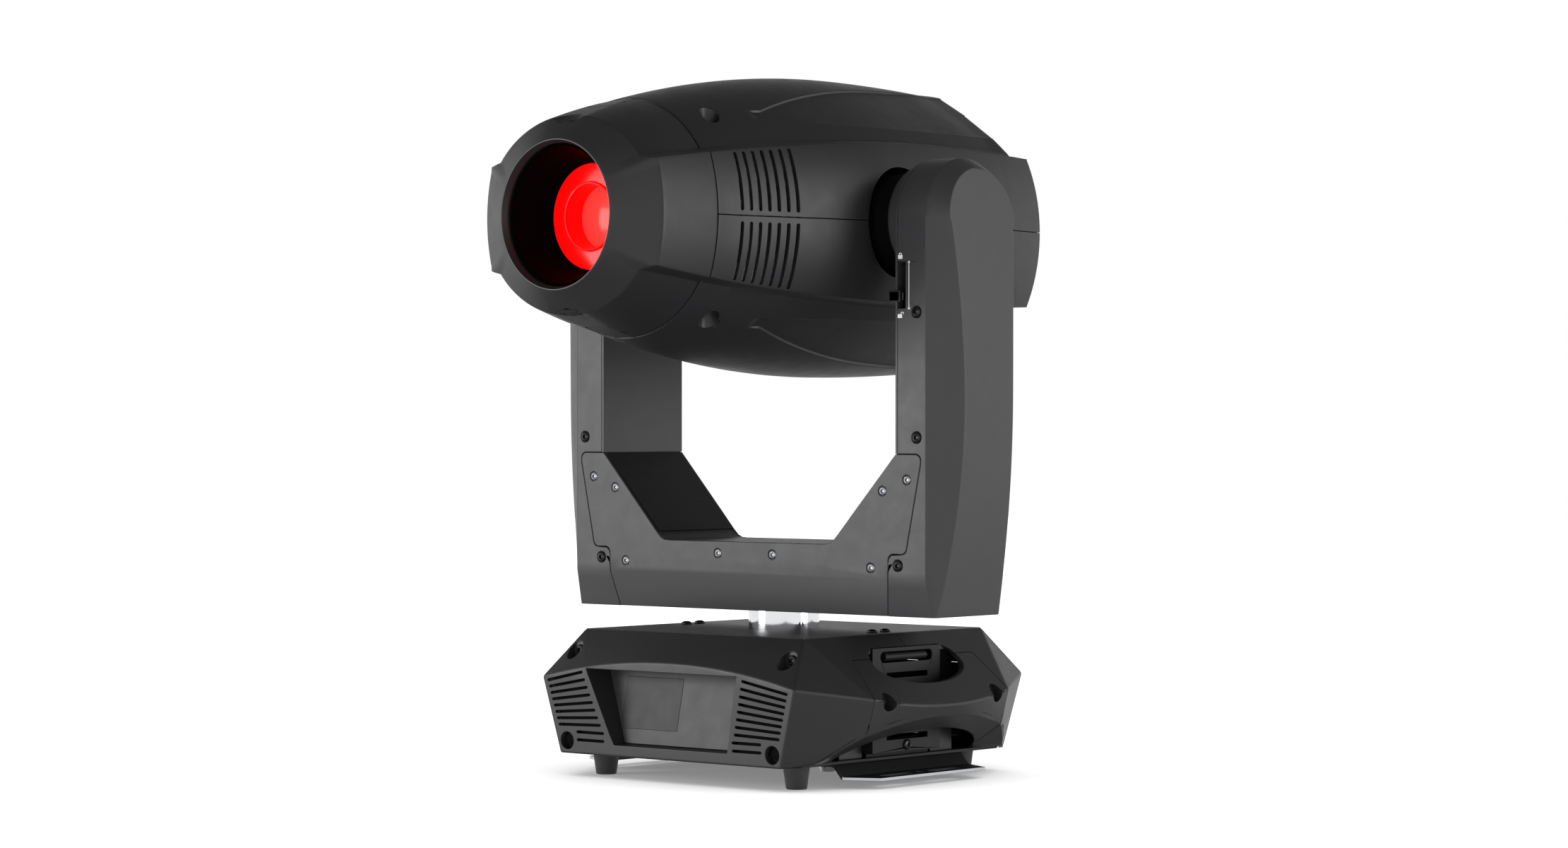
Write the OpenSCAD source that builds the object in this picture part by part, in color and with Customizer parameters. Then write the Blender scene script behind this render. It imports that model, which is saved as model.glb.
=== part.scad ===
// Moving head light: a base that holds the supplies, a yoke that pans on a chrome column,
// and an optical head that tilts between the yoke's two arms.
// Frame: +Z up, origin on the pan axis at floor level, lens towards -Y, millimetres.

/* [Base] */
// Height of the base's underside above the floor, which is the height of the rubber feet
foot_h = 19.5; // [18:0.5:21]
// Height of the base's flat top above the floor
base_top_z = 123; // [121:0.5:125]
// Width of the flat top, along X
top_w = 243.2; // [236:0.2:248]
// Depth of the flat top, along Y
top_d = 232; // [226:0.5:238]
// Width over the side ridges at the handle seams
ridge_w = 345.4; // [340:0.2:352]
// Depth over the front and rear faces
base_d = 300; // [296:0.5:304]
// Wall thickness of the plastic covers
cover_t = 3; // [2.5:0.1:3.2]
// Gap between neighbouring covers
seam = 0.3; // [0.2:0.05:0.5]

/* [Yoke] */
// Height of the yoke's underside above the floor
yoke_z = 139; // [138:0.5:140]
// Depth of the yoke between its front and rear planes
yoke_d = 101.6; // [100:0.2:103]
// Clear width between the arms
arm_gap = 326.2; // [324:0.2:328]
// Width over the front edges of the arms
arm_edge_w = 389.2; // [387:0.2:391]
// Width over the outer panels at their widest
panel_w = 441; // [438:0.5:444]
// Radius of the chrome pan column
column_r = 30.2; // [29:0.1:31]

/* [Head] */
// Height of the tilt axis above the floor
tilt_z = 463; // [461:0.5:465]
// Distance from the tilt axis to the front of the nose
nose_l = 280; // [276:0.5:282]
// Distance from the tilt axis to the nose seam
seam_l = 198; // [196:0.5:200]
// Distance from the tilt axis to the rear face
tail_l = 212; // [208:0.5:214]
// Largest radius of the round head shell
head_r = 127.2; // [126:0.1:128]
// Radius of the light opening in the nose
opening_r = 59; // [58:0.1:60]
// Radius of the front lens
lens_r = 42.6; // [41:0.1:44]

/* [Hidden] */
$fn = 64;
eps = 0.05;

// Colours
BLACK = "#2b2b2d";
GREY = "#3b3b3d";
STEEL = "#b9bbbe";

// ---- General shapes -------------------------------------------------------------------

// The smallest convex solid around a list of points
module point_hull(pts) {
    hull() polyhedron(points = pts, faces = [for (i = [0:len(pts) - 3]) [i, i + 1, i + 2]]);
}

// A solid through equal rings of points; each end is a fan round the ring's centre
module loft(rings) {
    n = len(rings);
    m = len(rings[0]);
    last = (n - 1) * m;
    ones = [for (j = [1:m]) 1];
    sides = [for (i = [0:n - 2], j = [0:m - 1])
        let (k = (j + 1) % m)
        each [[i * m + j, (i + 1) * m + k, (i + 1) * m + j], [i * m + j, i * m + k, (i + 1) * m + k]]];
    ends = [for (j = [0:m - 1])
        let (k = (j + 1) % m)
        each [[k, j, n * m], [last + j, last + k, n * m + 1]]];
    polyhedron(points = concat([for (ring = rings) each ring], [ones * rings[0] / m, ones * rings[n - 1] / m]),
        faces = concat(sides, ends));
}

// A prism whose profile is given in Y and Z, running along X
module along_x(x0, x1) {
    translate([x0, 0, 0]) rotate([90, 0, 90]) linear_extrude(x1 - x0) children();
}

// A prism whose profile is given in X and Z, running along Y
module along_y(y0, y1) {
    translate([0, y1, 0]) rotate([90, 0, 0]) linear_extrude(y1 - y0) children();
}

// A cylinder along X or along Y
module rod_x(x0, x1, r) {
    translate([x0, 0, 0]) rotate([0, 90, 0]) cylinder(h = x1 - x0, r = r);
}
module rod_y(y0, y1, r) {
    translate([0, y0, 0]) rotate([-90, 0, 0]) cylinder(h = y1 - y0, r = r);
}

// A round-ended flat slot between two points
module slot_2d(a, b, w) {
    d = b - a;
    translate(a) rotate(atan2(d[1], d[0])) translate([0, -w / 2]) square([norm(d), w]);
    translate(a) circle(d = w, $fn = 24);
    translate(b) circle(d = w, $fn = 24);
}

// A flat louvre opening between two points, with chamfered ends
module louvre_2d(a, b, w) {
    d = b - a;
    l = norm(d);
    r = w / 2;
    c = r * 0.4;
    translate(a) rotate(atan2(d[1], d[0]))
        polygon([[-r, -c], [-c, -r], [l + c, -r], [l + r, -c], [l + r, c], [l + c, r], [-c, r], [-r, c]]);
}

// The same thing on both sides of the pan axis
module both_sides() {
    children();
    mirror([1, 0, 0]) children();
}

// A button-head socket screw that points along -Z from the origin, its head above
module socket_screw(head_r, shank_r, length) {
    difference() {
        union() {
            cylinder(h = head_r * 0.55, r1 = head_r, r2 = head_r * 0.72, $fn = 32);
            translate([0, 0, -length]) cylinder(h = length + eps, r = shank_r, $fn = 24);
        }
        translate([0, 0, head_r * 0.15]) cylinder(h = head_r, r = head_r * 0.42, $fn = 6);
    }
}

// ---- Base -----------------------------------------------------------------------------

corner_x = 139.9;
corner_z = 83.5;
arch_rise = 16.5;
ridge_y = 88;
ridge_z = 74;
ridge_bulge = 7.9;
foot_x = 106;
foot_y = 107.6;
wall_x = 134;
wall_y = 44.4;

// Height of the arch along the top of the front face
function arch_z(x) = corner_z + arch_rise * (1 - pow(x / corner_x, 2));

// The outer shape of the base, moved inwards by t
module base_solid(t = 0) {
    low_z = t > 0 ? foot_h - 5 : foot_h;
    point_hull(concat(
        [for (x = [-1, 1], y = [-1, 1]) [x * (top_w / 2 - t), y * (top_d / 2 - t), base_top_z - t]],
        [for (s = [-1, 1], i = [-5:5]) let (x = i / 5 * (corner_x - t))
            [x, s * (base_d / 2 - t), arch_z(x) - t * 0.6]],
        [for (s = [-1, 1], i = [-4:4]) let (q = 1 - pow(i / 4, 2))
            [s * (ridge_w / 2 - t + ridge_bulge * q), ridge_y * i / 4, ridge_z - ridge_bulge * q]],
        [for (x = [-1, 1], y = [-1, 1]) [x * (166 - t), y * ridge_y, 50]],
        [for (x = [-1, 1], y = [-1, 1]) [x * (152 - t), y * (100 - t), low_z]],
        [for (x = [-1, 1], y = [-1, 1]) [x * (122.2 - t), y * (146.6 - t), low_z]]));
}

// The outline of the base's underside, moved inwards by t
module underside_2d(t) {
    x = 122.2 - t;
    y = 146.6 - t;
    polygon([[x, -y], [152 - t, -100], [152 - t, 100], [x, y], [-x, y], [t - 152, 100],
        [t - 152, -100], [-x, -y]]);
}

// Where the handle covers sit, grown by g
module handle_zone(g) {
    both_sides() along_x(130.3 - g, 200)
        polygon([[-ridge_y - g, 0], [-ridge_y - g, ridge_z], [-78.7 - g, 104.2 + g],
            [78.7 + g, 104.2 + g], [ridge_y + g, ridge_z], [ridge_y + g, 0]]);
}

// The hand opening above the grip and the arch below it
module handle_openings() {
    both_sides() {
        along_x(wall_x - 1.4, 200)
            polygon(concat([for (a = [0:15:90]) [45 + 12 * cos(a), 99 + 16 * sin(a)]],
                [for (a = [90:15:180]) [12 * cos(a) - 45, 99 + 16 * sin(a)]],
                [for (a = [195:15:345]) [57 * cos(a), 99 + 15.7 * sin(a)]]));
        along_x(130.4, 200)
            polygon(concat([[138, 10]], [for (a = [0:12:180]) [138 * cos(a), 19.5 + 37 * sin(a)]],
                [[-138, 10]]));
    }
}

// The louvres beside the display recess: eight that fan out and two short ones
module front_louvres_2d() {
    louvre_w = 2.6;
    for (i = [0:7]) {
        louvre_2d([-133.3 + 1.6 * i, 80.4 - 5.26 * i], [-94.6 + 2.7 * i, 88.6 - 6.26 * i], louvre_w);
        louvre_2d([84.7 - 1.4 * i, 88.5 - 6.26 * i], [131.5 - 1.45 * i, 80.1 - 5.26 * i], louvre_w);
    }
    for (z = [38.1, 31.5])
        both_sides() louvre_2d([72.2, z], [101.5, z], louvre_w);
}

// The tapered recess behind the display, grown by g
module display_recess(g) {
    point_hull([[-89.5 - g, -151, 91.9 + g], [78 + g, -151, 91.9 + g], [65.8 + g, -151, 28.8 - g],
        [-61 - g, -151, 28.8 - g], [-88 - g, -121 + g, 91 + g], [77 + g, -121 + g, 91 + g],
        [64 + g, -134 + g, 30 - g], [-59 - g, -134 + g, 30 - g]]);
}

// Screw pockets: [position of the pocket floor, outward direction as an angle about Z]
front_pockets = [[[-118, -126, 105.5], 0], [[118, -126, 105.5], 0],
    [[-114, -138, 30.2], 0], [[114, -138, 30.2], 0]];
handle_pockets = [[[163, -71, 71.5], 90], [[163, 71, 71.5], 90]];
pocket_r = 7.4;

// Puts its children on a pocket floor, with +Z pointing out of the pocket
module at_pocket(p) {
    translate(p[0]) rotate([0, 0, p[1]]) rotate([90, 0, 0]) children();
}

// A wall of thickness t with closed screw pockets; the children are what it also holds inside
module base_wall(t, pockets) {
    difference() {
        intersection() {
            base_solid();
            union() {
                difference() {
                    translate([-250, -200, 0]) cube([500, 400, 200]);
                    base_solid(t);
                }
                for (p = pockets) at_pocket(p) translate([0, 0, -2]) cylinder(h = 40, r = pocket_r + 1.6);
                children();
            }
        }
        for (p = pockets) at_pocket(p) cylinder(h = 60, r = pocket_r);
        for (p = pockets) at_pocket(p) translate([0, 0, -3]) cylinder(h = 6, r = 2.2, $fn = 24);
    }
}

// Half of the plastic cover, on the -Y side of the pan axis
module half_cover() {
    difference() {
        base_wall(cover_t, front_pockets) {
            // Inner walls between the electronics bay and the hollows behind the handles
            both_sides() translate([128, -146, foot_h + 2.8]) cube([2, 146 - wall_y - 2, 90]);
            children();
        }
        translate([-200, -seam / 2, 0]) cube([400, 200, 200]);
        translate([-top_w / 2 - seam, -top_d / 2 - seam, base_top_z - 3.2])
            cube([top_w + 2 * seam, top_d + 2 * seam, 10]);
        handle_zone(seam);
        handle_openings();
        // Room for the chassis wall and for the bottom plate under the screw pockets
        both_sides() translate([wall_x - 8, -wall_y - 1, foot_h]) cube([9.4, 2 * wall_y, 93]);
        translate([-129.8, -143.4, 0]) cube([259.6, 286.8, foot_h + 2.8]);
    }
}

module base_front_cover() {
    color(BLACK) difference() {
        half_cover() display_recess(2.4);
        display_recess(0);
        along_y(-155, -140) front_louvres_2d();
    }
}

connector_y = 128;

module base_rear_cover() {
    color(BLACK) difference() {
        rotate([0, 0, 180]) half_cover()
            translate([-92, -152, 26]) cube([184, 152 - connector_y + 2.4, 68]);
        translate([-89.6, connector_y - 10, 28.4]) cube([179.2, 40, 63.2]);
        for (i = [0:7]) both_sides() along_y(140, 155)
            louvre_2d([98, 42 + 5.6 * i], [124, 42 + 5.6 * i], 2.6);
    }
}

module handle_cover() {
    color(BLACK) difference() {
        intersection() {
            base_wall(4, handle_pockets);
            handle_zone(0);
            translate([0, -200, 0]) cube([300, 400, 200]);
        }
        handle_openings();
    }
}
module base_right_handle_cover() { handle_cover(); }
module base_left_handle_cover() { mirror([1, 0, 0]) handle_cover(); }

top_screws = [for (x = [-104, 104], y = [-8.5, 8.5]) [x, y]];

module base_top_plate() {
    color(GREY) difference() {
        translate([-top_w / 2, -top_d / 2, base_top_z - 3]) cube([top_w, top_d, 3]);
        translate([0, 0, base_top_z - 4]) cylinder(h = 6, r = column_r + 0.5);
        for (p = top_screws) translate([p[0], p[1], base_top_z - 4]) cylinder(h = 6, r = 2.2, $fn = 24);
    }
}

module base_bottom_plate() {
    color(GREY) difference() {
        translate([0, 0, foot_h]) linear_extrude(2.5) intersection() {
            underside_2d(cover_t + seam);
            square([2 * wall_x - 9, 400], center = true);
        }
        for (p = turn_points) translate([p[0], p[1], foot_h - 1]) cylinder(h = 6, r = 4.4);
    }
}

module chassis_side_walls() {
    wall_z0 = foot_h + 6;
    wall_z1 = 112;
    color(GREY) both_sides() {
        difference() {
            union() {
                translate([wall_x - 2, -wall_y, wall_z0]) cube([2, 2 * wall_y, wall_z1 - wall_z0]);
                // Foot that stands on the bottom plate and the lip under the top plate
                translate([110, -wall_y + 4, foot_h + 2.5]) cube([14, 2 * wall_y - 8, 2]);
                translate([122, -wall_y + 4, foot_h + 2.5]) cube([2, 2 * wall_y - 8, 8]);
                translate([122, -wall_y + 4, wall_z0]) cube([12, 2 * wall_y - 8, 2]);
                translate([96, -wall_y + 4, 110]) cube([31, 2 * wall_y - 8, 2]);
                translate([96, -20, 110]) cube([16, 40, base_top_z - 3 - 110]);
                for (s = [-1, 1]) translate([112, s * (wall_y - 1) - 1, wall_z0])
                    cube([wall_x - 112, 2, wall_z1 - wall_z0]);
            }
            along_x(wall_x - 4, wall_x + 4) {
                slot_2d([-29.5, 104.3], [29.5, 104.3], 9);
                translate([-26, 86.8]) square([54, 4.4]);
                translate([-26, 36]) square([54, 4.4]);
                translate([0, 31]) circle(d = 4.4, $fn = 24);
            }
            for (p = top_screws) translate([abs(p[0]), p[1], 108]) cylinder(h = 20, r = 1.9, $fn = 24);
        }
    }
}

module display_panel() {
    color("#4a4a4d") point_hull([for (g = [0.2, 1.8])
        each [[-87.4, -121.2 - g, 90.4], [76.4, -121.2 - g, 90.4], [63.4, -134.1 - g, 30.6],
            [-58.4, -134.1 - g, 30.6]]]);
}

// The clear window lies on the panel, tilted with it
module display_window() {
    tilt = atan2(12.9, 59.8);
    color("#303236") translate([-33.5, -129.3, 64]) rotate([-tilt, 0, 0])
        cube([63, 0.8, 43.5], center = true);
}

module rubber_feet() {
    color("#1c1c1d") for (x = [-1, 1], y = [-1, 1]) translate([x * foot_x, y * foot_y, 0])
        cylinder(h = foot_h, r1 = 8.7, r2 = 11.3);
}

bracket_t = 2.5;
bracket_z = 9.5;
turn_points = [[112, -74], [112, 74], [-112, 74], [-112, -74]];

// Folded sheet bracket: a flange under the base, a sloping web and an outer flange with slots
module clamp_bracket() {
    color("#222224") difference() {
        intersection() {
            along_y(-83, 83) polygon([[98, foot_h], [98, foot_h - bracket_t], [124, foot_h - bracket_t],
                [133.6, bracket_z - bracket_t], [163, bracket_z - bracket_t], [163, bracket_z],
                [134.8, bracket_z], [125.2, foot_h]]);
            translate([0, 0, -1]) linear_extrude(foot_h + 2)
                polygon([[90, -83], [134, -83], [164, -68], [164, 68], [134, 83], [90, 83]]);
        }
        translate([0, 0, 2]) linear_extrude(12) {
            slot_2d([150, 16], [150, 46], 11);
            slot_2d([150, -46], [150, -16], 11);
        }
        translate([150, 0, 2]) cylinder(h = 12, r = 5.2);
        for (y = [-74, 74]) translate([112, y, foot_h - 6]) cylinder(h = 8, r = 4.4);
    }
}
module right_clamp_bracket() { clamp_bracket(); }
module left_clamp_bracket() { mirror([1, 0, 0]) clamp_bracket(); }

// Quarter-turn fastener: slotted head below the bracket, stud and cross pin above the plate
module quarter_turn(i) {
    color(STEEL) translate([turn_points[i][0], turn_points[i][1], foot_h - bracket_t]) difference() {
        union() {
            translate([0, 0, -4.3]) cylinder(h = 4, r1 = 6.5, r2 = 8);
            translate([0, 0, -2]) cylinder(h = 12, r = 4.3);
            translate([-7, -1.5, 6]) cube([14, 3, 3]);
        }
        translate([-9, -1, -5]) cube([18, 2, 2.4]);
    }
}
module quarter_turn_1() { quarter_turn(0); }
module quarter_turn_2() { quarter_turn(1); }
module quarter_turn_3() { quarter_turn(2); }
module quarter_turn_4() { quarter_turn(3); }

// Sockets on the rear panel: [x, radius]
data_sockets = [[-74, 9.5], [-50, 9.5], [-26, 9.5], [-2, 9.5]];
power_sockets = [[30, 13], [66, 13]];
socket_z = 60;

module connector_panel() {
    color("#3a3a3c") difference() {
        translate([-89.3, connector_y - 2.2, 28.7]) cube([178.6, 2, 62.6]);
        for (s = concat(data_sockets, power_sockets)) translate([s[0], 0, socket_z])
            rod_y(connector_y - 4, connector_y + 4, s[1] + 0.2);
    }
}

// One round chassis socket with a square flange and contact holes
module chassis_socket(r, pins) {
    difference() {
        union() {
            rod_y(-14, 4, r);
            translate([-r - 2, 0, -r - 3]) cube([2 * r + 4, 2, 2 * r + 6]);
        }
        rod_y(-6, 6, r - 1.6);
    }
    rod_y(-14, 1.5, r - 4);
    for (i = [0:pins - 1]) rotate([0, i * 360 / pins, 0]) translate([r - 5.5, 0, 0]) rod_y(-10, 3, 0.9, $fn = 16);
}

module panel_sockets() {
    color("#17171a") {
        for (s = data_sockets) translate([s[0], connector_y, socket_z]) chassis_socket(s[1], 5);
        for (s = power_sockets) translate([s[0], connector_y, socket_z]) chassis_socket(s[1], 3);
    }
}

module power_supply() {
    color("#8d9094") difference() {
        translate([-78, -60, foot_h + 3]) cube([104, 150, 38]);
        for (i = [0:9]) translate([-79, -48 + 13 * i, foot_h + 10]) cube([3, 6, 24]);
    }
}

module control_board() {
    color("#1f5a3a") union() {
        translate([36, -60, foot_h + 12]) cube([60, 130, 1.6]);
        for (i = [0:3]) translate([44, -48 + 30 * i, foot_h + 13]) cube([18, 18, 3.6]);
        translate([72, -50, foot_h + 13]) cube([16, 80, 8.6]);
        for (x = [40, 92], y = [-54, 64]) translate([x, y, foot_h + 2.5]) cylinder(h = 10, r = 2.5, $fn = 24);
    }
}

module base_screws() {
    color("#151517") {
        for (t = [0, 180]) rotate([0, 0, t]) for (p = front_pockets) at_pocket(p)
            translate([0, 0, 0.1]) socket_screw(4.6, 2, 9);
        both_sides() for (p = handle_pockets) at_pocket(p)
            translate([0, 0, 0.1]) socket_screw(4.6, 2, 9);
        for (p = top_screws) translate([p[0], p[1], base_top_z]) socket_screw(4.8, 1.8, 8);
        both_sides() translate([wall_x, 0, 31]) rotate([0, 90, 0]) socket_screw(3.8, 2, 6);
    }
}

// ---- Pan column and drive ---------------------------------------------------------------

drive_z0 = 176;
drive_h = 12;
pan_pulley_r = 42;
motor_pulley_r = 14;
pan_motor_x = -92;
running = 0.05;

module pan_column() {
    color("#d9dadc") difference() {
        union() {
            translate([0, 0, 112]) cylinder(h = 78, r = column_r);
            translate([0, 0, 112]) cylinder(h = base_top_z - 3 - 112, r = 44);
        }
        translate([0, 0, 110]) cylinder(h = 84, r = 22);
    }
}

module pan_pulley() {
    color("#77797c") translate([0, 0, drive_z0]) difference() {
        cylinder(h = drive_h, r = pan_pulley_r);
        translate([0, 0, -1]) cylinder(h = drive_h + 2, r = column_r + running);
        for (a = [0:60:300]) rotate([0, 0, a + 30]) translate([36.2, 0, -1]) cylinder(h = drive_h + 2, r = 3.4);
    }
}

module pan_bearing() {
    color(STEEL) translate([0, 0, yoke_z + 5]) difference() {
        cylinder(h = 12, r = 38.9);
        translate([0, 0, -1]) cylinder(h = 14, r = column_r + running);
    }
}

// Square motor along +Z with a blind shaft bore
module motor_body(size, h, bore_r) {
    difference() {
        translate([-size / 2, -size / 2, 0]) cube([size, size, h]);
        for (a = [45:90:315]) rotate([0, 0, a]) translate([size * 0.71, 0, -1])
            cube([size * 0.14, size * 0.3, 3 * h], center = true);
        translate([0, 0, 4]) cylinder(h = h, r = bore_r);
    }
}

// A toothed pulley with its motor shaft below it
module motor_pulley(r, h, shaft_r, shaft_l) {
    cylinder(h = h, r = r);
    translate([0, 0, -shaft_l]) cylinder(h = shaft_l + eps, r = shaft_r);
}

// A closed belt round two pulleys, the second at distance d along +X
module belt(r1, r2, d, w) {
    linear_extrude(w) difference() {
        hull() {
            circle(r = r1 + 1.8);
            translate([d, 0]) circle(r = r2 + 1.8);
        }
        hull() {
            circle(r = r1 + 0.3);
            translate([d, 0]) circle(r = r2 + 0.3);
        }
    }
}

module pan_motor() {
    color("#2a2a2c") translate([pan_motor_x, 0, yoke_z + 3.2]) motor_body(42, 30, 2.5 + running);
}
module pan_motor_pulley() {
    color(STEEL) translate([pan_motor_x, 0, drive_z0]) motor_pulley(motor_pulley_r, drive_h, 2.5, 24);
}
module pan_belt() {
    color("#141415") translate([0, 0, drive_z0 + 1]) rotate([0, 0, 180])
        belt(pan_pulley_r, motor_pulley_r, -pan_motor_x, drive_h - 2);
}

// ---- Yoke -------------------------------------------------------------------------------

gap_x = arm_gap / 2;
edge_x = arm_edge_w / 2;
half_d = yoke_d / 2;
crease_z = 169.6;
low_d = 43.6;
diag_z = 271.6;
floor_x = 96.2;
floor_z = 197.1;
skin = 3;

// Half depth of the yoke at height z: it tapers in below the crease
function yoke_y(z) = z < crease_z ? low_d + (half_d - low_d) * (z - yoke_z) / (crease_z - yoke_z) : half_d;

// Outline of the opening between the arms, grown by g
module u_opening_2d(g) {
    offset(delta = g) polygon([[gap_x, 700], [gap_x, diag_z], [floor_x + 6, floor_z + 6.7],
        [floor_x - 2, floor_z + 1.2], [floor_x - 9, floor_z], [9 - floor_x, floor_z],
        [2 - floor_x, floor_z + 1.2], [-floor_x - 6, floor_z + 6.7], [-gap_x, diag_z], [-gap_x, 700]]);
}

// The outer panel of an arm bows outwards; its edge is [x, half depth] at height z
function panel_x(z) = panel_w / 2 - (z < 320 ? 6.8e-4 : 3.4e-4) * pow(z - 320, 2);
function panel_y(z) = 32.2 + (z < 310 ? 2.8e-4 : 3.8e-4) * pow(z - 310, 2);
function arm_edge_x(z) = edge_x + (z < crease_z ? 1.6 * (crease_z - z) / (crease_z - yoke_z) : 0);

arm_stations = [yoke_z, 155, crease_z, 190, 215, 240, 270, 300, 330, 360, 390, 420, 445];
cap_angles = [for (a = [0:10:180]) a];
cap_r = 42;

// The solid of one arm, right side, from x0 outwards, moved inwards by t
module arm_solid(x0, t = 0) {
    k = t > 0 ? t : 0;
    function z_at(z) = z == yoke_z ? yoke_z - (k > 0 ? 1 : 0) : z;
    front = [for (z = arm_stations) [-yoke_y(z) + k, z_at(z)]];
    arc = [for (a = cap_angles) [-(half_d - k) * cos(a), tilt_z + (half_d - k) * sin(a)]];
    back = [for (i = [len(arm_stations) - 1:-1:0]) [yoke_y(arm_stations[i]) - k, z_at(arm_stations[i])]];
    path = concat(front, arc, back);
    p_front = [for (z = arm_stations) [panel_x(z) - k, k * 0.6 - panel_y(z), z_at(z)]];
    p_arc = [for (a = cap_angles) let (z = tilt_z + (cap_r - k) * sin(a))
        [panel_x(z) - k, -(cap_r - k) * cos(a), z]];
    p_back = [for (i = [len(arm_stations) - 1:-1:0]) let (z = arm_stations[i])
        [panel_x(z) - k, panel_y(z) - k * 0.6, z_at(z)]];
    ring_a = [for (p = path) [x0, p[0], p[1]]];
    ring_b = [for (i = [0:len(path) - 1]) [arm_edge_x(path[i][1]) - k * 0.5, path[i][0], path[i][1]]];
    ring_c = concat(p_front, p_arc, p_back);
    n = len(path);
    sides = [for (r = [0:1], j = [0:n - 1]) let (m = (j + 1) % n)
        each [[r * n + j, r * n + m, (r + 1) * n + m], [r * n + j, (r + 1) * n + m, (r + 1) * n + j]]];
    // The outer cap joins each front point to the rear point at the same height
    cap = [for (j = [0:floor(n / 2) - 1]) let (a = 2 * n + j, b = 2 * n + n - 1 - j)
        each (j == floor(n / 2) - 1 && n % 2 == 1
            ? [[a, b, a + 1]]
            : [[a, b, b - 1], [a, b - 1, a + 1]])];
    inner = [for (j = [n - 1:-1:0]) j];
    polyhedron(points = concat(ring_a, ring_b, ring_c), faces = concat(sides, [inner],
        [for (f = cap) if (f[0] != f[1] && f[1] != f[2] && f[0] != f[2]) f]));
}

// Outline of the U-shaped plate on the front and rear, grown by g
module u_plate_2d(g) {
    offset(delta = g)
        polygon([[0, yoke_z - 2], [149.3, yoke_z - 2], [155.1, crease_z], [155.5, 186], [156.6, 189],
            [159.6, 190.5], [170, 190.5], [172.6, 191.5], [174.4, 194.5], [189.2, 264], [188.7, 268.4],
            [184.6, diag_z], [-184.6, diag_z], [-188.7, 268.4], [-189.2, 264], [-174.4, 194.5],
            [-172.6, 191.5], [-170, 190.5], [-159.6, 190.5], [-156.6, 189], [-155.5, 186],
            [-155.1, crease_z], [-149.3, yoke_z - 2]]);
}

// Front skin of the yoke between two depths, following the crease
module front_skin(t0, t1) {
    along_x(-300, 300) polygon([[t0 - half_d, 600], [t0 - half_d, crease_z], [t0 - low_d, yoke_z],
        [t1 - low_d, yoke_z], [t1 - half_d, crease_z], [t1 - half_d, 600]]);
}

plate_screws = [[174.8, 250.8], [149.3, 241.5], [136.9, 178.5], [30.4, 187]];
plate_screw_r = 3.8;

module yoke_plate() {
    difference() {
        intersection() {
            front_skin(0, skin);
            along_y(-60, 0) u_plate_2d(-seam / 2);
        }
        along_y(-60, 0) u_opening_2d(0);
        both_sides() for (p = plate_screws) translate([p[0], 0, p[1]]) {
            rod_y(-60, 1.8 - half_d, 4.6);
            rod_y(-60, 0, 2.1, $fn = 24);
        }
    }
}
module yoke_front_plate() { color(GREY) yoke_plate(); }
module yoke_rear_plate() { color(GREY) rotate([0, 0, 180]) yoke_plate(); }

frame_t = 2;
bearing_x0 = 167.3;
bearing_w = 13;
hub_shaft_r = 20;

// Bent inner frame: the lining of the opening, both inner arm walls, the floor and its bosses
module yoke_frame() {
    color("#353537") difference() {
        union() {
            intersection() {
                along_y(skin - half_d, half_d - skin) difference() {
                    u_opening_2d(frame_t);
                    u_opening_2d(0);
                }
                translate([-200, -100, 150]) cube([400, 200, diag_z - 140]);
            }
            both_sides() along_x(gap_x, gap_x + frame_t) {
                translate([-half_d + 0.2, diag_z + seam / 2]) square([yoke_d - 0.4, tilt_z - diag_z]);
                translate([0, tilt_z]) circle(r = half_d - 0.2);
            }
            translate([-186, -low_d + skin + 1, yoke_z]) cube([372, 2 * (low_d - skin - 1), skin]);
            translate([0, 0, yoke_z]) cylinder(h = 18, r = low_d - skin - 1);
            both_sides() translate([0, 0, tilt_z]) rod_x(gap_x, bearing_x0 + bearing_w, 34);
            // Posts between the floor and the lining
            both_sides() for (y = [-32, 26]) translate([124, y, yoke_z]) cube([4, 6, 92]);
        }
        translate([0, 0, yoke_z - 1]) cylinder(h = 30, r = column_r + 1.2);
        translate([0, 0, yoke_z + 5 - eps]) cylinder(h = 30, r = 39);
        both_sides() translate([0, 0, tilt_z]) {
            rod_x(gap_x - 1, gap_x + 20, hub_shaft_r + 1.2);
            rod_x(bearing_x0 - eps, gap_x + 40, 30);
        }
    }
}

module tilt_bearings() {
    color(STEEL) both_sides() translate([0, 0, tilt_z]) difference() {
        rod_x(bearing_x0, bearing_x0 + bearing_w, 29.95);
        rod_x(bearing_x0 - 1, bearing_x0 + bearing_w + 1, hub_shaft_r + running);
    }
}

arm_screws = [[185.1, 285.2], [165.6, 180.9], [185, 386.9]];
lock_slot_x = [gap_x + frame_t, 173.6];
lock_slot_z = [390, 427.4];

// Shell of one arm: front, rear and outer walls, open towards the inner frame
module arm_cover(lock_slot) {
    difference() {
        arm_solid(149);
        arm_solid(140, skin);
        along_y(-60, 60) difference() {
            u_opening_2d(frame_t + 0.1);
            translate([-300, 0]) square([600, yoke_z + 1]);
        }
        along_y(-60, 60) intersection() {
            u_plate_2d(seam / 2);
            translate([0, yoke_z - 5]) square([300, diag_z + seam / 2 - yoke_z + 5]);
        }
        for (y = [-half_d, half_d]) for (p = arm_screws) translate([p[0], y, p[1]]) {
            rod_y(-1.2, 1.2, 4.9);
            rod_y(-8, 8, 2.1, $fn = 24);
        }
        if (lock_slot) translate([lock_slot_x[0] - 1, -60, lock_slot_z[0]])
            cube([lock_slot_x[1] - lock_slot_x[0] + 1, 20, lock_slot_z[1] - lock_slot_z[0]]);
    }
}
module right_arm_cover() { color(GREY) arm_cover(true); }
module left_arm_cover() { color(GREY) mirror([1, 0, 0]) arm_cover(false); }

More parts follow.
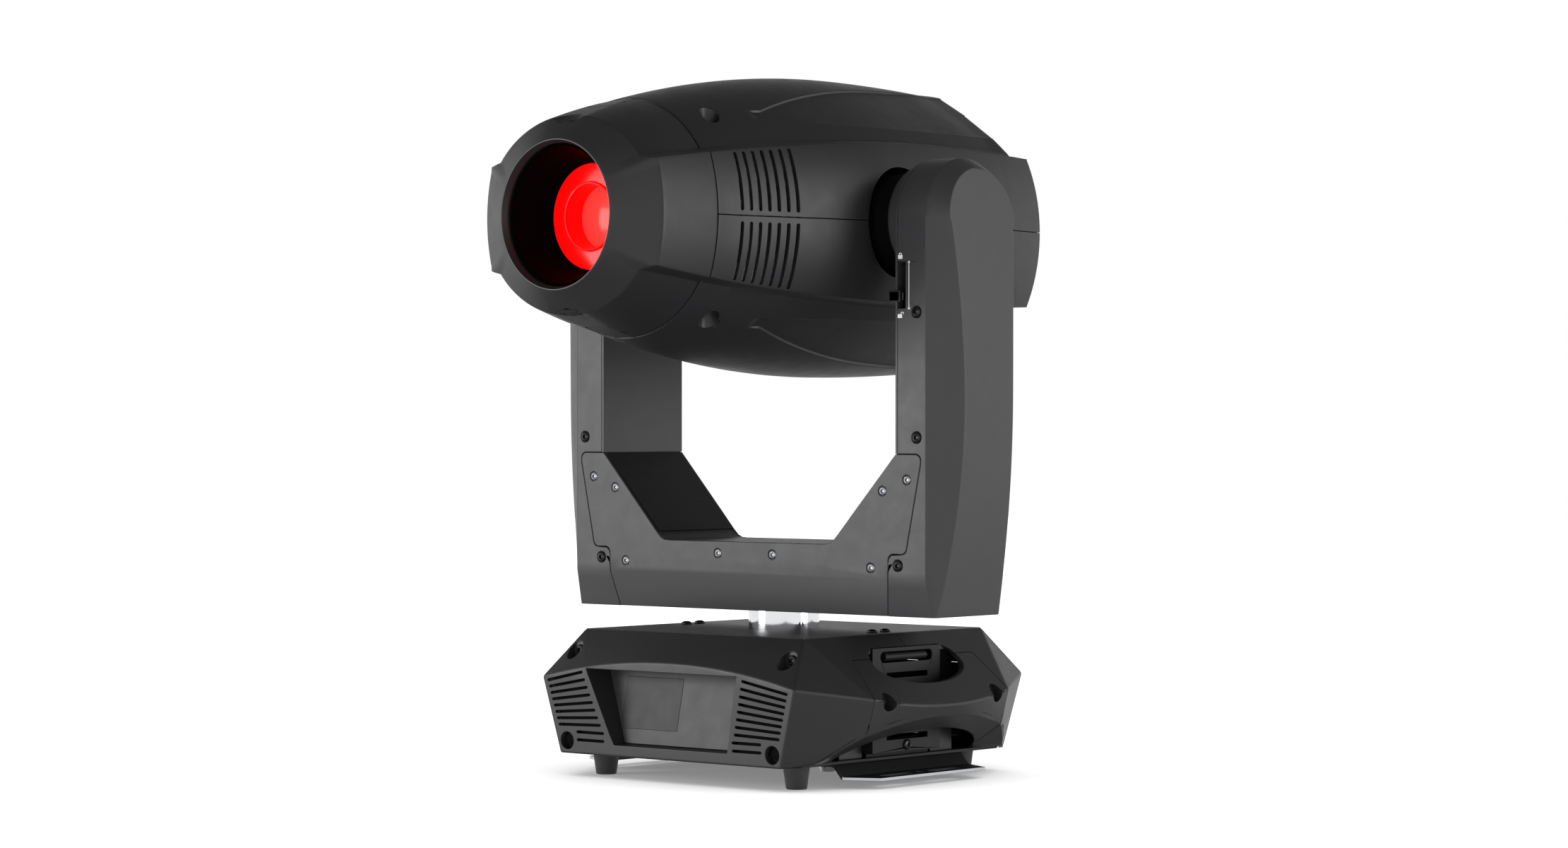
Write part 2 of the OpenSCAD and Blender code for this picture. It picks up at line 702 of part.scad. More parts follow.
module yoke_plate_screws() {
    color(STEEL) for (t = [0, 180]) rotate([0, 0, t]) both_sides() for (p = plate_screws)
        translate([p[0], 1.8 - half_d, p[1]]) rotate([90, 0, 0]) socket_screw(plate_screw_r, 2, 7);
}

module arm_cover_screws() {
    color("#141415") for (t = [0, 180]) rotate([0, 0, t]) both_sides() for (p = arm_screws)
        translate([p[0], 1.2 - half_d, p[1]]) rotate([90, 0, 0]) socket_screw(4.4, 2, 7);
}

// ---- Tilt drive and lock ----------------------------------------------------------------

tilt_pulley_r = 38;
tilt_motor_r = 38 / 3;
tilt_motor_z = 330;
pulley_x = 188;
pulley_w = 10;
lock_disc_r = 42;
knob_z = 400;

module tilt_pulley() {
    color("#77797c") translate([0, 0, tilt_z]) difference() {
        union() {
            rod_x(pulley_x, pulley_x + pulley_w, tilt_pulley_r);
            rod_x(pulley_x - 4, pulley_x + eps, lock_disc_r);
        }
        rod_x(pulley_x - 6, pulley_x + pulley_w + 2, hub_shaft_r + 0.02);
        // Eight lock notches
        for (a = [0:45:315]) rotate([a, 0, 0]) translate([pulley_x - 6, -5, -lock_disc_r - 3])
            cube([5.8, 10, 11]);
        for (a = [22.5:45:360]) rotate([a, 0, 0]) translate([0, 0, 29])
            rod_x(pulley_x - 6, pulley_x + pulley_w + 2, 4.2);
    }
}

module tilt_motor() {
    color("#2a2a2c") translate([gap_x + frame_t + 0.1, 0, tilt_motor_z]) rotate([0, 90, 0])
        motor_body(56, 21, 3 + running);
}
module tilt_motor_pulley() {
    color(STEEL) translate([pulley_x, 0, tilt_motor_z]) rotate([0, 90, 0])
        motor_pulley(tilt_motor_r, pulley_w, 3, 17);
}
module tilt_belt() {
    color("#141415") translate([pulley_x + 1, 0, tilt_z]) rotate([0, 90, 0])
        belt(tilt_pulley_r, tilt_motor_r, tilt_z - tilt_motor_z, pulley_w - 2);
}

// Knob in the front slot, an arm that reaches back to the pulley and the lock pin on it
module tilt_lock_slider() {
    color("#1b1b1c") union() {
        translate([159.4, -54.6, knob_z - 4.5]) cube([11.6, 3.6, 9]);
        translate([167, -52, knob_z - 3.5]) cube([4, 56, 7]);
        translate([167, -3.5, knob_z - 3.5]) cube([19.6, 7, 7]);
        translate([184.4, -3.5, knob_z - 3.5]) cube([2.2, 7, 12.5]);
    }
}

// ---- Head -------------------------------------------------------------------------------

cheek_arc = 151;
function smooth(t) = let (c = max(0, min(1, t))) c * c * (3 - 2 * c);

// Round shell radius, side band half height and side band reach at distance y
function shell_r(y) = head_r - (y < 35 ? 5.4e-4 : 2.6e-4) * pow(y - 35, 2);
function band_h(y) = y < 60 ? 67 - 17 * pow((60 - y) / 258, 2) : 67 - 2 * pow((y - 60) / 134, 2);
function band_x(y) = y < -15 ? 101.5 + 32.5 * smooth((y + 205) / 190) : 134 - 13 * pow((y + 15) / 178, 2);

// Point at angle a on the roof of the section: round in front, faceted towards the tail
function roof(y, t, a) =
    let (r = shell_r(min(y, 155)) - t,
        w = smooth((y - 50) / 105),
        h = band_h(y) - t,
        drop = smooth((y - 155) / 35),
        a0 = asin(h / r),
        corner = [65 - t * 0.5, 114 - t * 0.9],
        foot = [band_x(y) - 20 - t, h],
        u = a < 60 ? (a - a0) / (60 - a0) : (90 - a) / 30,
        facet = a < 60 ? foot + (corner - foot) * u : [corner[0] * u, corner[1] + (9 - t * 0.1) * (1 - u * u)],
        p = (1 - w) * [r * cos(a), r * sin(a)] + w * facet)
    [p[0], h + (p[1] - h) * (1 - drop) + 0.8 * drop];

roof_steps = 9;
function roof_angles(y, t) = let (a0 = asin((band_h(y) - t) / (shell_r(min(y, 155)) - t)))
    [for (i = [0:roof_steps]) i < 5 ? a0 + (60 - a0) * i / 5 : 60 + 30 * (i - 5) / 4];

// One quarter of the section, from the middle of the right side band to the top
function section_quarter(y, t) =
    let (h = band_h(y) - t, x = band_x(y) - t)
    concat([for (i = [0:4]) let (z = h * i / 4) [x - cheek_arc + sqrt(cheek_arc * cheek_arc - z * z), z]],
        [for (a = roof_angles(y, t)) roof(y, t, a)]);

function head_section(y, t) =
    let (q = section_quarter(y, t), n = len(q))
    concat([for (i = [0:n - 1]) [q[i][0], y, tilt_z + q[i][1]]],
        [for (i = [n - 2:-1:0]) [-q[i][0], y, tilt_z + q[i][1]]],
        [for (i = [1:n - 1]) [-q[i][0], y, tilt_z - q[i][1]]],
        [for (i = [n - 2:-1:1]) [q[i][0], y, tilt_z - q[i][1]]]);

shell_stations = [-170, -140, -110, -80, -50, -15, 20, 60, 90, 120, 155, 166, 178, 190];

module head_body(t) {
    y0 = t > 0 ? -seam_l - 2 : -seam_l + seam / 2;
    loft([for (y = concat([y0], shell_stations, [tail_l - (t > 0 ? t : 0)])) head_section(y, t)]);
}

head_pockets = [[58, -148, 1], [-58, -148, 1], [58, -148, -1], [-58, -148, -1]];
side_louvre_y = [for (i = [0:6]) -171.6 + 9.15 * i];
tail_w = 82;
tail_h = 50;
hub_r = 45;

// Upper or lower shell of the head: side is 1 or -1
module head_shell(side) {
    difference() {
        head_body(0);
        head_body(skin);
        translate([-300, -300, side > 0 ? tilt_z - 300 + seam / 2 : tilt_z - seam / 2]) cube([600, 700, 300]);
        both_sides() for (i = [0:6]) translate([85, side_louvre_y[i] - 1.8, tilt_z + (side > 0 ? 4 : -49 - 0.8 * i)])
            cube([60, 3.6, 45 + 0.8 * i]);
        both_sides() translate([0, 0, tilt_z]) rod_x(80, 150, hub_r + 0.8);
        translate([-tail_w, 195, tilt_z - tail_h]) cube([2 * tail_w, 30, 2 * tail_h]);
        for (p = head_pockets) translate([p[0], p[1], tilt_z]) cylinder(h = 300, r = 2.2, center = true, $fn = 24);
    }
}
module upper_shell() { color(BLACK) head_shell(1); }
module lower_shell() { color(BLACK) head_shell(-1); }

// Cheek outline of the nose at distance y, moved inwards by t
function cheek_ring(y, x, h, t) = [for (i = [-4:4]) let (z = (h - t) * i / 4)
    [x - t - cheek_arc + sqrt(cheek_arc * cheek_arc - z * z), y, tilt_z + z]];

module nose_solid(t) {
    translate([0, 0, tilt_z]) rotate([90, 0, 0]) rotate_extrude()
        polygon([[0, nose_l - t * 2], [opening_r - t, nose_l - t * 2], [85 - t, nose_l - 20 - t], [93 - t, 225],
            [95.4 - t, seam_l + seam / 2 - (t > 0 ? 2 : 0)], [0, seam_l + seam / 2 - (t > 0 ? 2 : 0)]]);
    both_sides() point_hull(concat(cheek_ring(20 - nose_l + t, 99.5, 43, t),
        cheek_ring(-seam_l - seam / 2 + (t > 0 ? 2 : 0), 101.5, 50, t),
        [for (z = [-28, 28], y = [2 * t - nose_l + 1, -seam_l - seam / 2 + (t > 0 ? 2 : 0)])
            [opening_r - 12, y, tilt_z + z]]));
}

module nose_bezel() {
    color(BLACK) difference() {
        nose_solid(0);
        nose_solid(skin);
        translate([0, 0, tilt_z]) rotate([90, 0, 0]) rotate_extrude()
            polygon([[0, nose_l + 1], [opening_r, nose_l + 1], [opening_r, nose_l - 3], [54, nose_l - 8],
                [54, seam_l], [0, seam_l]]);
    }
    // Ring that joins the nose to the lens tube
    color(BLACK) translate([0, 0, tilt_z]) difference() {
        rod_y(14 - nose_l, 17 - nose_l, 78);
        rod_y(12 - nose_l, 19 - nose_l, 53);
    }
}

module rear_grille() {
    color(BLACK) difference() {
        translate([-tail_w + 0.3, tail_l - 6, tilt_z - tail_h + 0.3])
            cube([2 * tail_w - 0.6, 3, 2 * tail_h - 0.6]);
        for (i = [-5:5]) along_y(tail_l - 8, tail_l) translate([0, tilt_z])
            slot_2d([-66, 7.6 * i], [66, 7.6 * i], 3.6);
    }
}

module lens_tube() {
    color("#1a1a1b") translate([0, 0, tilt_z]) rotate([90, 0, 0]) rotate_extrude()
        polygon([[52, 268], [52, 150.2], [46, 150.2], [46, 229], [lens_r + 0.4, 229], [lens_r + 0.4, 244],
            [50, 266]]);
}

module front_lens() {
    dome_r = 130;
    rim_a = asin(lens_r / dome_r);
    color("#c81010", 0.6) translate([0, 0, tilt_z]) rotate([90, 0, 0]) rotate_extrude()
        polygon(concat([[0, 226], [lens_r, 226]], [for (i = [8:-1:0]) let (a = rim_a * i / 8)
            [dome_r * sin(a), 240 - dome_r * (1 - cos(a))]]));
}

bulkheads = [-152, -36, 17];
rod_x_pos = 72;

module head_chassis() {
    color("#606265") translate([0, 0, tilt_z]) difference() {
        union() {
            for (y = bulkheads) rod_y(y, y + 2.5, 86);
            both_sides() translate([82, -152, -28]) cube([3, 300, 56]);
            both_sides() rod_x(82, 88, 38);
        }
        rod_y(-160, -140, 52.2);
        rod_y(-40, 30, 20);
        for (x = [-rod_x_pos, rod_x_pos]) translate([x, 0, 0]) rod_y(-160, -33, 3 + running);
    }
}

module guide_rods() {
    color(STEEL) translate([0, 0, tilt_z]) for (x = [-rod_x_pos, rod_x_pos]) translate([x, 0, 0])
        rod_y(-153, -33, 3);
}

// Lens carriage: a ring with a lens, and a bushed lug at each side
module carriage(y, lens) {
    translate([0, y, tilt_z]) {
        difference() {
            union() {
                rod_y(-5, 5, lens + 6);
                both_sides() translate([lens, -5, -7]) cube([rod_x_pos - lens, 10, 14]);
                both_sides() translate([rod_x_pos, 0, 0]) rod_y(-5, 5, 7);
            }
            rod_y(-6, 6, lens);
            both_sides() translate([rod_x_pos, 0, 0]) rod_y(-6, 6, 3 + running);
        }
        rod_y(-3, 3, lens);
    }
}
module focus_carriage() { color("#9aa0a6") carriage(-128, 38); }
module zoom_carriage() { color("#9aa0a6") carriage(-88, 32); }

wheel_z = 44;

// A wheel of seven apertures and its shaft, centred above or below the beam
module effect_wheel(y, dz, aperture) {
    translate([0, y, tilt_z + dz]) difference() {
        union() {
            rod_y(0, 2, 62);
            rod_y(0, 24, 2.5);
        }
        for (a = [0:360 / 7:359]) rotate([0, a, 0]) translate([0, 0, -dz]) rod_y(-1, 3, aperture);
    }
}
module colour_wheel() { color("#b0a060") effect_wheel(-24, wheel_z, 15); }
module gobo_wheel() { color("#9c9c9f") effect_wheel(-16, -wheel_z, 12); }

module wheel_motors() {
    color("#2a2a2c") translate([0, 0, tilt_z]) for (s = [-1, 1]) translate([0, 16.9, s * wheel_z])
        rotate([90, 0, 0]) motor_body(40, 24, 2.5 + running);
}

module led_engine() {
    color("#84878b") translate([0, 0, tilt_z]) difference() {
        union() {
            translate([-46, 20, -46]) cube([92, 38, 92]);
            rod_y(19.6, 20.4, 28);
        }
        rod_y(10, 40, 22);
    }
}

module heat_sink() {
    fin_n = 17;
    color("#9a9da1") translate([0, 0, tilt_z]) difference() {
        translate([-78, 58, -62]) cube([156, 84, 124]);
        for (i = [0:fin_n - 1]) translate([-75 + i * 150 / fin_n + 1.6, 66, -70]) cube([5.8, 90, 140]);
    }
}

fan_y = 146;

module fan_frame() {
    color("#202022") translate([0, fan_y, tilt_z]) {
        difference() {
            translate([-60, 0, -60]) cube([120, 25, 120]);
            rod_y(-1, 26, 57);
        }
        rod_y(22, 25, 22);
        for (a = [45:90:315]) rotate([0, a, 0]) translate([-3, 22, 15]) cube([6, 3, 43.5]);
        rod_y(4, 24, 3);
    }
}

module fan_rotor() {
    color("#303032") translate([0, fan_y, tilt_z]) difference() {
        union() {
            rod_y(2, 21, 20);
            for (a = [0:360 / 7:359]) rotate([0, a, 0]) translate([0, 11.5, 18]) rotate([0, 0, 32])
                translate([-1.1, -9, 0]) cube([2.2, 18, 37]);
        }
        rod_y(3.6, 22, 3 + running);
    }
}

hub_wall = 5;

// Tilt hub: a cup bolted to the chassis and a hollow shaft through the bearing
module tilt_hub(shaft_end) {
    translate([0, 0, tilt_z]) difference() {
        union() {
            rod_x(88, gap_x - 0.4, hub_r);
            rod_x(gap_x - 2, shaft_end, hub_shaft_r);
        }
        rod_x(87, gap_x - 0.4 - hub_wall, hub_r - hub_wall);
        rod_x(87, shaft_end + 1, 13);
    }
}
module tilt_hubs() {
    color("#1f1f21") {
        tilt_hub(pulley_x + pulley_w + 2);
        mirror([1, 0, 0]) tilt_hub(bearing_x0 + bearing_w + 3);
    }
}

module head_screws() {
    color("#151517") for (p = head_pockets)
        translate([p[0], p[1], tilt_z + p[2] * 84]) rotate([p[2] > 0 ? 0 : 180, 0, 0]) socket_screw(4.4, 2, 12);
}

// ---- Drawing ----------------------------------------------------------------------------

base_bottom_plate();
base_front_cover();
base_rear_cover();
base_left_handle_cover();
base_right_handle_cover();
base_top_plate();
display_panel();
display_window();
chassis_side_walls();
rubber_feet();
left_clamp_bracket();
right_clamp_bracket();
quarter_turn_1();
quarter_turn_2();
quarter_turn_3();
quarter_turn_4();
connector_panel();
panel_sockets();
power_supply();
control_board();
base_screws();
pan_column();
pan_pulley();
yoke_frame();
yoke_front_plate();
yoke_rear_plate();
left_arm_cover();
right_arm_cover();
pan_bearing();
tilt_bearings();
pan_motor();
pan_motor_pulley();
pan_belt();
tilt_motor();
tilt_motor_pulley();
tilt_belt();
tilt_lock_slider();
yoke_plate_screws();
arm_cover_screws();
nose_bezel();
upper_shell();
lower_shell();
rear_grille();
tilt_hubs();
tilt_pulley();
head_chassis();
guide_rods();
lens_tube();
front_lens();
led_engine();
heat_sink();
fan_frame();
fan_rotor();
colour_wheel();
gobo_wheel();
wheel_motors();
zoom_carriage();
focus_carriage();
head_screws();
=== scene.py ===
"""Moving head light: the finished look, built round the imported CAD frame.

Shapes are worked out in millimetres in the row frame and become metres in new_piece().
+Z is up, the lens faces -Y at rest, and the origin is on the pan axis at floor level.
"""
import math

import bmesh
import bpy
import numpy as np
from mathutils import Matrix, Vector


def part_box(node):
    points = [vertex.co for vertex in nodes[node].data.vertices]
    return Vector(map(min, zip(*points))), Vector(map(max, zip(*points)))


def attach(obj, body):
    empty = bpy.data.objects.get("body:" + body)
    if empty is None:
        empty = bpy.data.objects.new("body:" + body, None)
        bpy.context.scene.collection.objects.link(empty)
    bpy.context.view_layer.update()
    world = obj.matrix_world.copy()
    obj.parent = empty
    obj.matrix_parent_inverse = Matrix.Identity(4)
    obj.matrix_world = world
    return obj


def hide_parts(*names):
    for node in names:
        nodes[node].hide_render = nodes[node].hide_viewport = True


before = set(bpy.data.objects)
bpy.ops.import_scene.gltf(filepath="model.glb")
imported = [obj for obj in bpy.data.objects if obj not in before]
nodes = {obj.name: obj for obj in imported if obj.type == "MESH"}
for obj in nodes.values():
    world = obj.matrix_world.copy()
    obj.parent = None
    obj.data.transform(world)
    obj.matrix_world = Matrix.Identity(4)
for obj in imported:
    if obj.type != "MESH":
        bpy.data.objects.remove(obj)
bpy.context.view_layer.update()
scene = bpy.context.scene

MM = 0.001
SIDES = (-1, 1)


# ---- Small numbers and shapes ---------------------------------------------------------

def smooth(t):
    """0 below 0, 1 above 1, and an even ramp between."""
    c = min(max(t, 0.0), 1.0)
    return c * c * (3 - 2 * c)


def lerp(a, b, t):
    """The value a share t of the way from a to b."""
    return a + (b - a) * t


def arc(cx, cy, r, a0, a1, n):
    """Points on a circle from angle a0 to a1, in degrees."""
    steps = [math.radians(lerp(a0, a1, i / n)) for i in range(n + 1)]
    return [(cx + r * math.cos(a), cy + r * math.sin(a)) for a in steps]


def mirrored(points):
    """An outline's right half, from bottom to top, closed with its mirror image."""
    return list(points) + [(-x, y) for x, y in reversed(points) if abs(x) > 1e-6]


def slot_outline(x0, y0, x1, y1, width, n=6):
    """A round-ended slot between two points."""
    turn = math.degrees(math.atan2(y1 - y0, x1 - x0))
    r = width / 2
    return arc(x1, y1, r, turn - 90, turn + 90, n) + arc(x0, y0, r, turn + 90, turn + 270, n)


# ---- Mesh helpers ---------------------------------------------------------------------

def new_piece(name, points, faces):
    """A mesh object from points in millimetres."""
    mesh = bpy.data.meshes.new(name)
    mesh.from_pydata((np.array(points, float) * MM).tolist(), [], faces)
    mesh.validate()
    piece = bpy.data.objects.new(name, mesh)
    scene.collection.objects.link(piece)
    return piece


def band_faces(count, size):
    """The four-sided faces between closed rings of points, listed ring by ring."""
    faces = []
    for i in range(count - 1):
        for j in range(size):
            k = (j + 1) % size
            faces.append((i * size + j, i * size + k, (i + 1) * size + k, (i + 1) * size + j))
    return faces


def loft(name, rings):
    """A closed skin through rings of equal length, with a flat face at each end."""
    count, size = len(rings), len(rings[0])
    points = [p for ring in rings for p in ring]
    faces = band_faces(count, size)
    faces.append(tuple(reversed(range(size))))
    faces.append(tuple(range((count - 1) * size, count * size)))
    piece = new_piece(name, points, faces)
    face_outwards(piece)
    return piece


def face_outwards(piece):
    """Turns every face of a closed mesh outwards."""
    work = bmesh.new()
    work.from_mesh(piece.data)
    bmesh.ops.recalc_face_normals(work, faces=work.faces)
    work.to_mesh(piece.data)
    work.free()


def prism(name, outline, low, high, axis="Y"):
    """A straight prism. The outline is (x, z) along Y, (y, z) along X, or (x, y) along Z."""
    place = {
        "X": lambda u, v, w: (w, u, v),
        "Y": lambda u, v, w: (u, w, v),
        "Z": lambda u, v, w: (u, v, w),
    }[axis]
    return loft(name, [[place(u, v, w) for u, v in outline] for w in (low, high)])


def box(name, low, high):
    """A rectangular block between two corners."""
    outline = [(low[0], low[1]), (high[0], low[1]), (high[0], high[1]), (low[0], high[1])]
    return prism(name, outline, low[2], high[2], "Z")


def lathe(name, profile, centre=(0, 0, 0), axis="Z", steps=96):
    """A solid of revolution. The profile is a closed list of (radius, height) along the axis."""
    turn = {
        "X": lambda c, s, h: (h, c, s),
        "Y": lambda c, s, h: (c, h, s),
        "Z": lambda c, s, h: (c, s, h),
    }[axis]
    is_ring = min(r for r, h in profile) > 1e-6
    points, faces, rings = [], [], []
    for r, h in profile:
        if r < 1e-6:
            rings.append([len(points)] * steps)
            points.append(turn(0, 0, h))
        else:
            rings.append([len(points) + j for j in range(steps)])
            angles = [2 * math.pi * j / steps for j in range(steps)]
            points.extend(turn(r * math.cos(a), r * math.sin(a), h) for a in angles)
    pairs = list(zip(rings, rings[1:] + rings[:1])) if is_ring else list(zip(rings, rings[1:]))
    for low, high in pairs:
        for j in range(steps):
            k = (j + 1) % steps
            corners = list(dict.fromkeys((low[j], low[k], high[k], high[j])))
            if len(corners) > 2:
                faces.append(tuple(corners))
    piece = new_piece(name, [np.add(p, centre) for p in points], faces)
    face_outwards(piece)
    return piece


def hull(name, points):
    """The smallest convex solid round a list of points, with its flat faces whole."""
    work = bmesh.new()
    for p in points:
        work.verts.new([c * MM for c in p])
    made = bmesh.ops.convex_hull(work, input=work.verts)
    bmesh.ops.delete(work, geom=[v for v in made["geom_interior"] if v.is_valid], context="VERTS")
    bmesh.ops.dissolve_limit(work, angle_limit=math.radians(0.6), verts=work.verts, edges=work.edges)
    mesh = bpy.data.meshes.new(name)
    work.to_mesh(mesh)
    work.free()
    piece = bpy.data.objects.new(name, mesh)
    scene.collection.objects.link(piece)
    face_outwards(piece)
    return piece


def together(name, pieces):
    """Several mesh objects as one, keeping their materials. Tools for cutting must not overlap."""
    points, faces, materials, indices = [], [], [], []
    for piece in pieces:
        start = len(points)
        points.extend(piece.matrix_world @ v.co for v in piece.data.vertices)
        own = [m for m in piece.data.materials]
        for m in own:
            if m not in materials:
                materials.append(m)
        for face in piece.data.polygons:
            faces.append([start + i for i in face.vertices])
            indices.append(materials.index(own[face.material_index]) if own else 0)
        bpy.data.objects.remove(piece)
    mesh = bpy.data.meshes.new(name)
    mesh.from_pydata([tuple(p) for p in points], [], faces)
    for m in materials:
        mesh.materials.append(m)
    mesh.polygons.foreach_set("material_index", indices)
    made = bpy.data.objects.new(name, mesh)
    scene.collection.objects.link(made)
    return made


def settle(piece):
    """Replaces a piece's mesh with what its modifiers make of it."""
    bpy.context.view_layer.update()
    shown = piece.evaluated_get(bpy.context.evaluated_depsgraph_get())
    mesh = bpy.data.meshes.new_from_object(shown)
    piece.modifiers.clear()
    piece.data = mesh
    if not any(mesh.materials):
        mesh.materials.clear()


def closed(piece):
    """Whether every edge of a mesh joins exactly two faces."""
    work = bmesh.new()
    work.from_mesh(piece.data)
    whole = all(e.is_manifold for e in work.edges)
    work.free()
    return whole


def boolean(piece, tools, operation="DIFFERENCE"):
    """Cuts, joins or keeps what the tools overlap, then throws the tools away."""
    for tool in tools:
        modifier = piece.modifiers.new("boolean", "BOOLEAN")
        modifier.operation = operation
        modifier.solver = "MANIFOLD" if closed(piece) and closed(tool) else "EXACT"
        modifier.object = tool
        settle(piece)
    for tool in tools:
        bpy.data.objects.remove(tool)
    return piece


def cut(piece, *tools):
    """Takes each tool's shape out of a piece."""
    return boolean(piece, list(tools))


def shade(piece, angle=32):
    """Smooth shading that keeps edges sharper than the angle crisp."""
    piece.data.polygons.foreach_set("use_smooth", [True] * len(piece.data.polygons))
    piece.data.set_sharp_from_angle(angle=math.radians(angle))


def soften(piece, width=0.5, angle=34, segments=2):
    """Rounds each edge that is sharper than the angle."""
    work = bmesh.new()
    work.from_mesh(piece.data)
    bmesh.ops.remove_doubles(work, verts=work.verts, dist=1e-6)
    bmesh.ops.dissolve_degenerate(work, edges=work.edges, dist=2e-6)
    work.to_mesh(piece.data)
    work.free()
    modifier = piece.modifiers.new("edges", "BEVEL")
    modifier.width = width * MM
    modifier.segments = segments
    modifier.limit_method = "ANGLE"
    modifier.angle_limit = math.radians(angle)
    modifier.use_clamp_overlap = False
    settle(piece)
    even(piece, 50)
    return piece


def split_large_faces(piece):
    """Triangulates faces of more than four sides, so that rounding their corners stays clean."""
    work = bmesh.new()
    work.from_mesh(piece.data)
    bmesh.ops.triangulate(work, faces=[f for f in work.faces if len(f.verts) > 4])
    work.to_mesh(piece.data)
    work.free()


def even(piece, angle):
    """Smooth shading set by the larger faces, so flat faces stay flat next to rounded edges."""
    shade(piece, angle)
    modifier = piece.modifiers.new("normals", "WEIGHTED_NORMAL")
    modifier.keep_sharp = True
    modifier.weight = 80
    settle(piece)


def finish_piece(piece, body, slot, material, *replaced):
    """Paints a piece, hangs it on its body and hides the CAD nodes it stands for."""
    if not piece.data.materials:
        piece.data.materials.append(material)
    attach(piece, body)
    if replaced:
        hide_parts(*replaced)
    return piece


# ---- Materials ------------------------------------------------------------------------

def linear(colour):
    """A display colour such as 2b2b2d as linear values."""
    values = [int(colour[i:i + 2], 16) / 255 for i in (0, 2, 4)]
    return [v / 12.92 if v <= 0.04045 else ((v + 0.055) / 1.055) ** 2.4 for v in values]


def link(tree, a, b):
    tree.links.new(a, b)


def noise(tree, place, scale, detail=2.0, rough=0.5):
    """A noise texture at a scale per metre, on the object's own coordinates."""
    node = tree.nodes.new("ShaderNodeTexNoise")
    node.inputs["Scale"].default_value = scale
    node.inputs["Detail"].default_value = detail
    node.inputs["Roughness"].default_value = rough
    link(tree, place, node.inputs["Vector"])
    return node.outputs["Fac"]


def mapped(tree, value, low, high):
    """A value between 0 and 1 spread over another range."""
    node = tree.nodes.new("ShaderNodeMapRange")
    node.inputs["From Min"].default_value = 0.3
    node.inputs["From Max"].default_value = 0.7
    node.inputs["To Min"].default_value = low
    node.inputs["To Max"].default_value = high
    link(tree, value, node.inputs["Value"])
    return node.outputs["Result"]


def blended(tree, factor, low, high):
    """A colour between two, chosen by a factor."""
    node = tree.nodes.new("ShaderNodeMix")
    node.data_type = "RGBA"
    link(tree, factor, node.inputs[0])
    node.inputs[6].default_value = (*low, 1)
    node.inputs[7].default_value = (*high, 1)
    return node.outputs[2]


def surface(name, colour, rough, metal=0.0, vary=0.06, rough_vary=0.03, grain=0.0, grain_scale=1500,
            stretch=(1, 1, 1), coat=0.0, specular=0.5):
    """A worked surface: slightly cloudy colour, uneven roughness and a fine grain."""
    material = bpy.data.materials.new(name)
    material.use_nodes = True
    tree = material.node_tree
    shader = tree.nodes["Principled BSDF"]
    shader.inputs["Metallic"].default_value = metal
    shader.inputs["Specular IOR Level"].default_value = specular
    shader.inputs["Coat Weight"].default_value = coat
    shader.inputs["Coat Roughness"].default_value = 0.12
    where = tree.nodes.new("ShaderNodeTexCoord")
    stretched = tree.nodes.new("ShaderNodeMapping")
    stretched.inputs["Scale"].default_value = stretch
    link(tree, where.outputs["Object"], stretched.inputs["Vector"])
    place = stretched.outputs["Vector"]
    base = np.array(linear(colour))
    fleck = noise(tree, place, grain_scale * 0.6, 3.0, 0.6)
    cloud = noise(tree, place, 18, 4.0, 0.55)
    both = tree.nodes.new("ShaderNodeMath")
    both.operation = "MULTIPLY_ADD"
    both.inputs[1].default_value = 0.25
    half = tree.nodes.new("ShaderNodeMath")
    half.operation = "MULTIPLY"
    half.inputs[1].default_value = 0.75
    link(tree, fleck, half.inputs[0])
    link(tree, cloud, both.inputs[0])
    link(tree, half.outputs[0], both.inputs[2])
    mixed = blended(tree, both.outputs[0], base * (1 - vary), base * (1 + vary))
    link(tree, mixed, shader.inputs["Base Color"])
    link(tree, mapped(tree, noise(tree, place, 60, 5.0, 0.6), rough - rough_vary, rough + rough_vary),
         shader.inputs["Roughness"])
    if grain > 0:
        bump = tree.nodes.new("ShaderNodeBump")
        bump.inputs["Strength"].default_value = grain
        bump.inputs["Distance"].default_value = 0.00012
        link(tree, noise(tree, place, grain_scale, 2.0, 0.55), bump.inputs["Height"])
        link(tree, bump.outputs["Normal"], shader.inputs["Normal"])
    return material


def glowing(name, colour, edge):
    """Glass with light behind it, which varies a little between two colours over its face."""
    material = surface(name, colour, 0.16, vary=0.05, rough_vary=0.02, specular=0.2)
    tree = material.node_tree
    shader = tree.nodes["Principled BSDF"]
    where = tree.nodes.new("ShaderNodeTexCoord")
    shine = noise(tree, where.outputs["Object"], 25, 1.0)
    light = blended(tree, shine, np.array(linear(edge)), np.array(linear(colour)))
    link(tree, light, shader.inputs["Emission Color"])
    shader.inputs["Emission Strength"].default_value = 1.0
    return material


base_plastic = surface("base_plastic", "262628", 0.42, grain=0.35, grain_scale=1900, vary=0.08)
head_plastic = surface("head_plastic", "1f1f21", 0.42, grain=0.35, grain_scale=1900, vary=0.08)
yoke_plastic = surface("yoke_plastic", "353537", 0.46, grain=0.45, grain_scale=1500, vary=0.08)
panel_plastic = surface("panel_plastic", "3a3a3c", 0.5, grain=0.3, grain_scale=2200, vary=0.06)
black_metal = surface("black_metal", "1a1a1b", 0.5, grain=0.25, grain_scale=1400, specular=0.3)
gloss_black = surface("gloss_black", "0b0b0c", 0.2, vary=0.1, rough_vary=0.05, grain=0.05, coat=0.4)
tube_black = surface("tube_black", "020202", 0.6, vary=0.1, rough_vary=0.05, grain=0.05, specular=0.02)
# Painted shade: this near-black tone on the tilt necks and on the sheets behind the louvres stands in for
# the shade there; it also fills the real gap round the display window.
shade_and_gap_black = surface("shade_and_gap_black", "050505", 0.8, vary=0.2, grain=0.3, grain_scale=600, specular=0.1)
black_steel = surface("black_steel", "121213", 0.26, vary=0.2, rough_vary=0.08, grain=0.1)
rubber = surface("rubber", "333335", 0.62, grain=0.5, grain_scale=900, vary=0.15)
belt_rubber = surface("belt_rubber", "141415", 0.75, grain=0.6, grain_scale=700, vary=0.15)
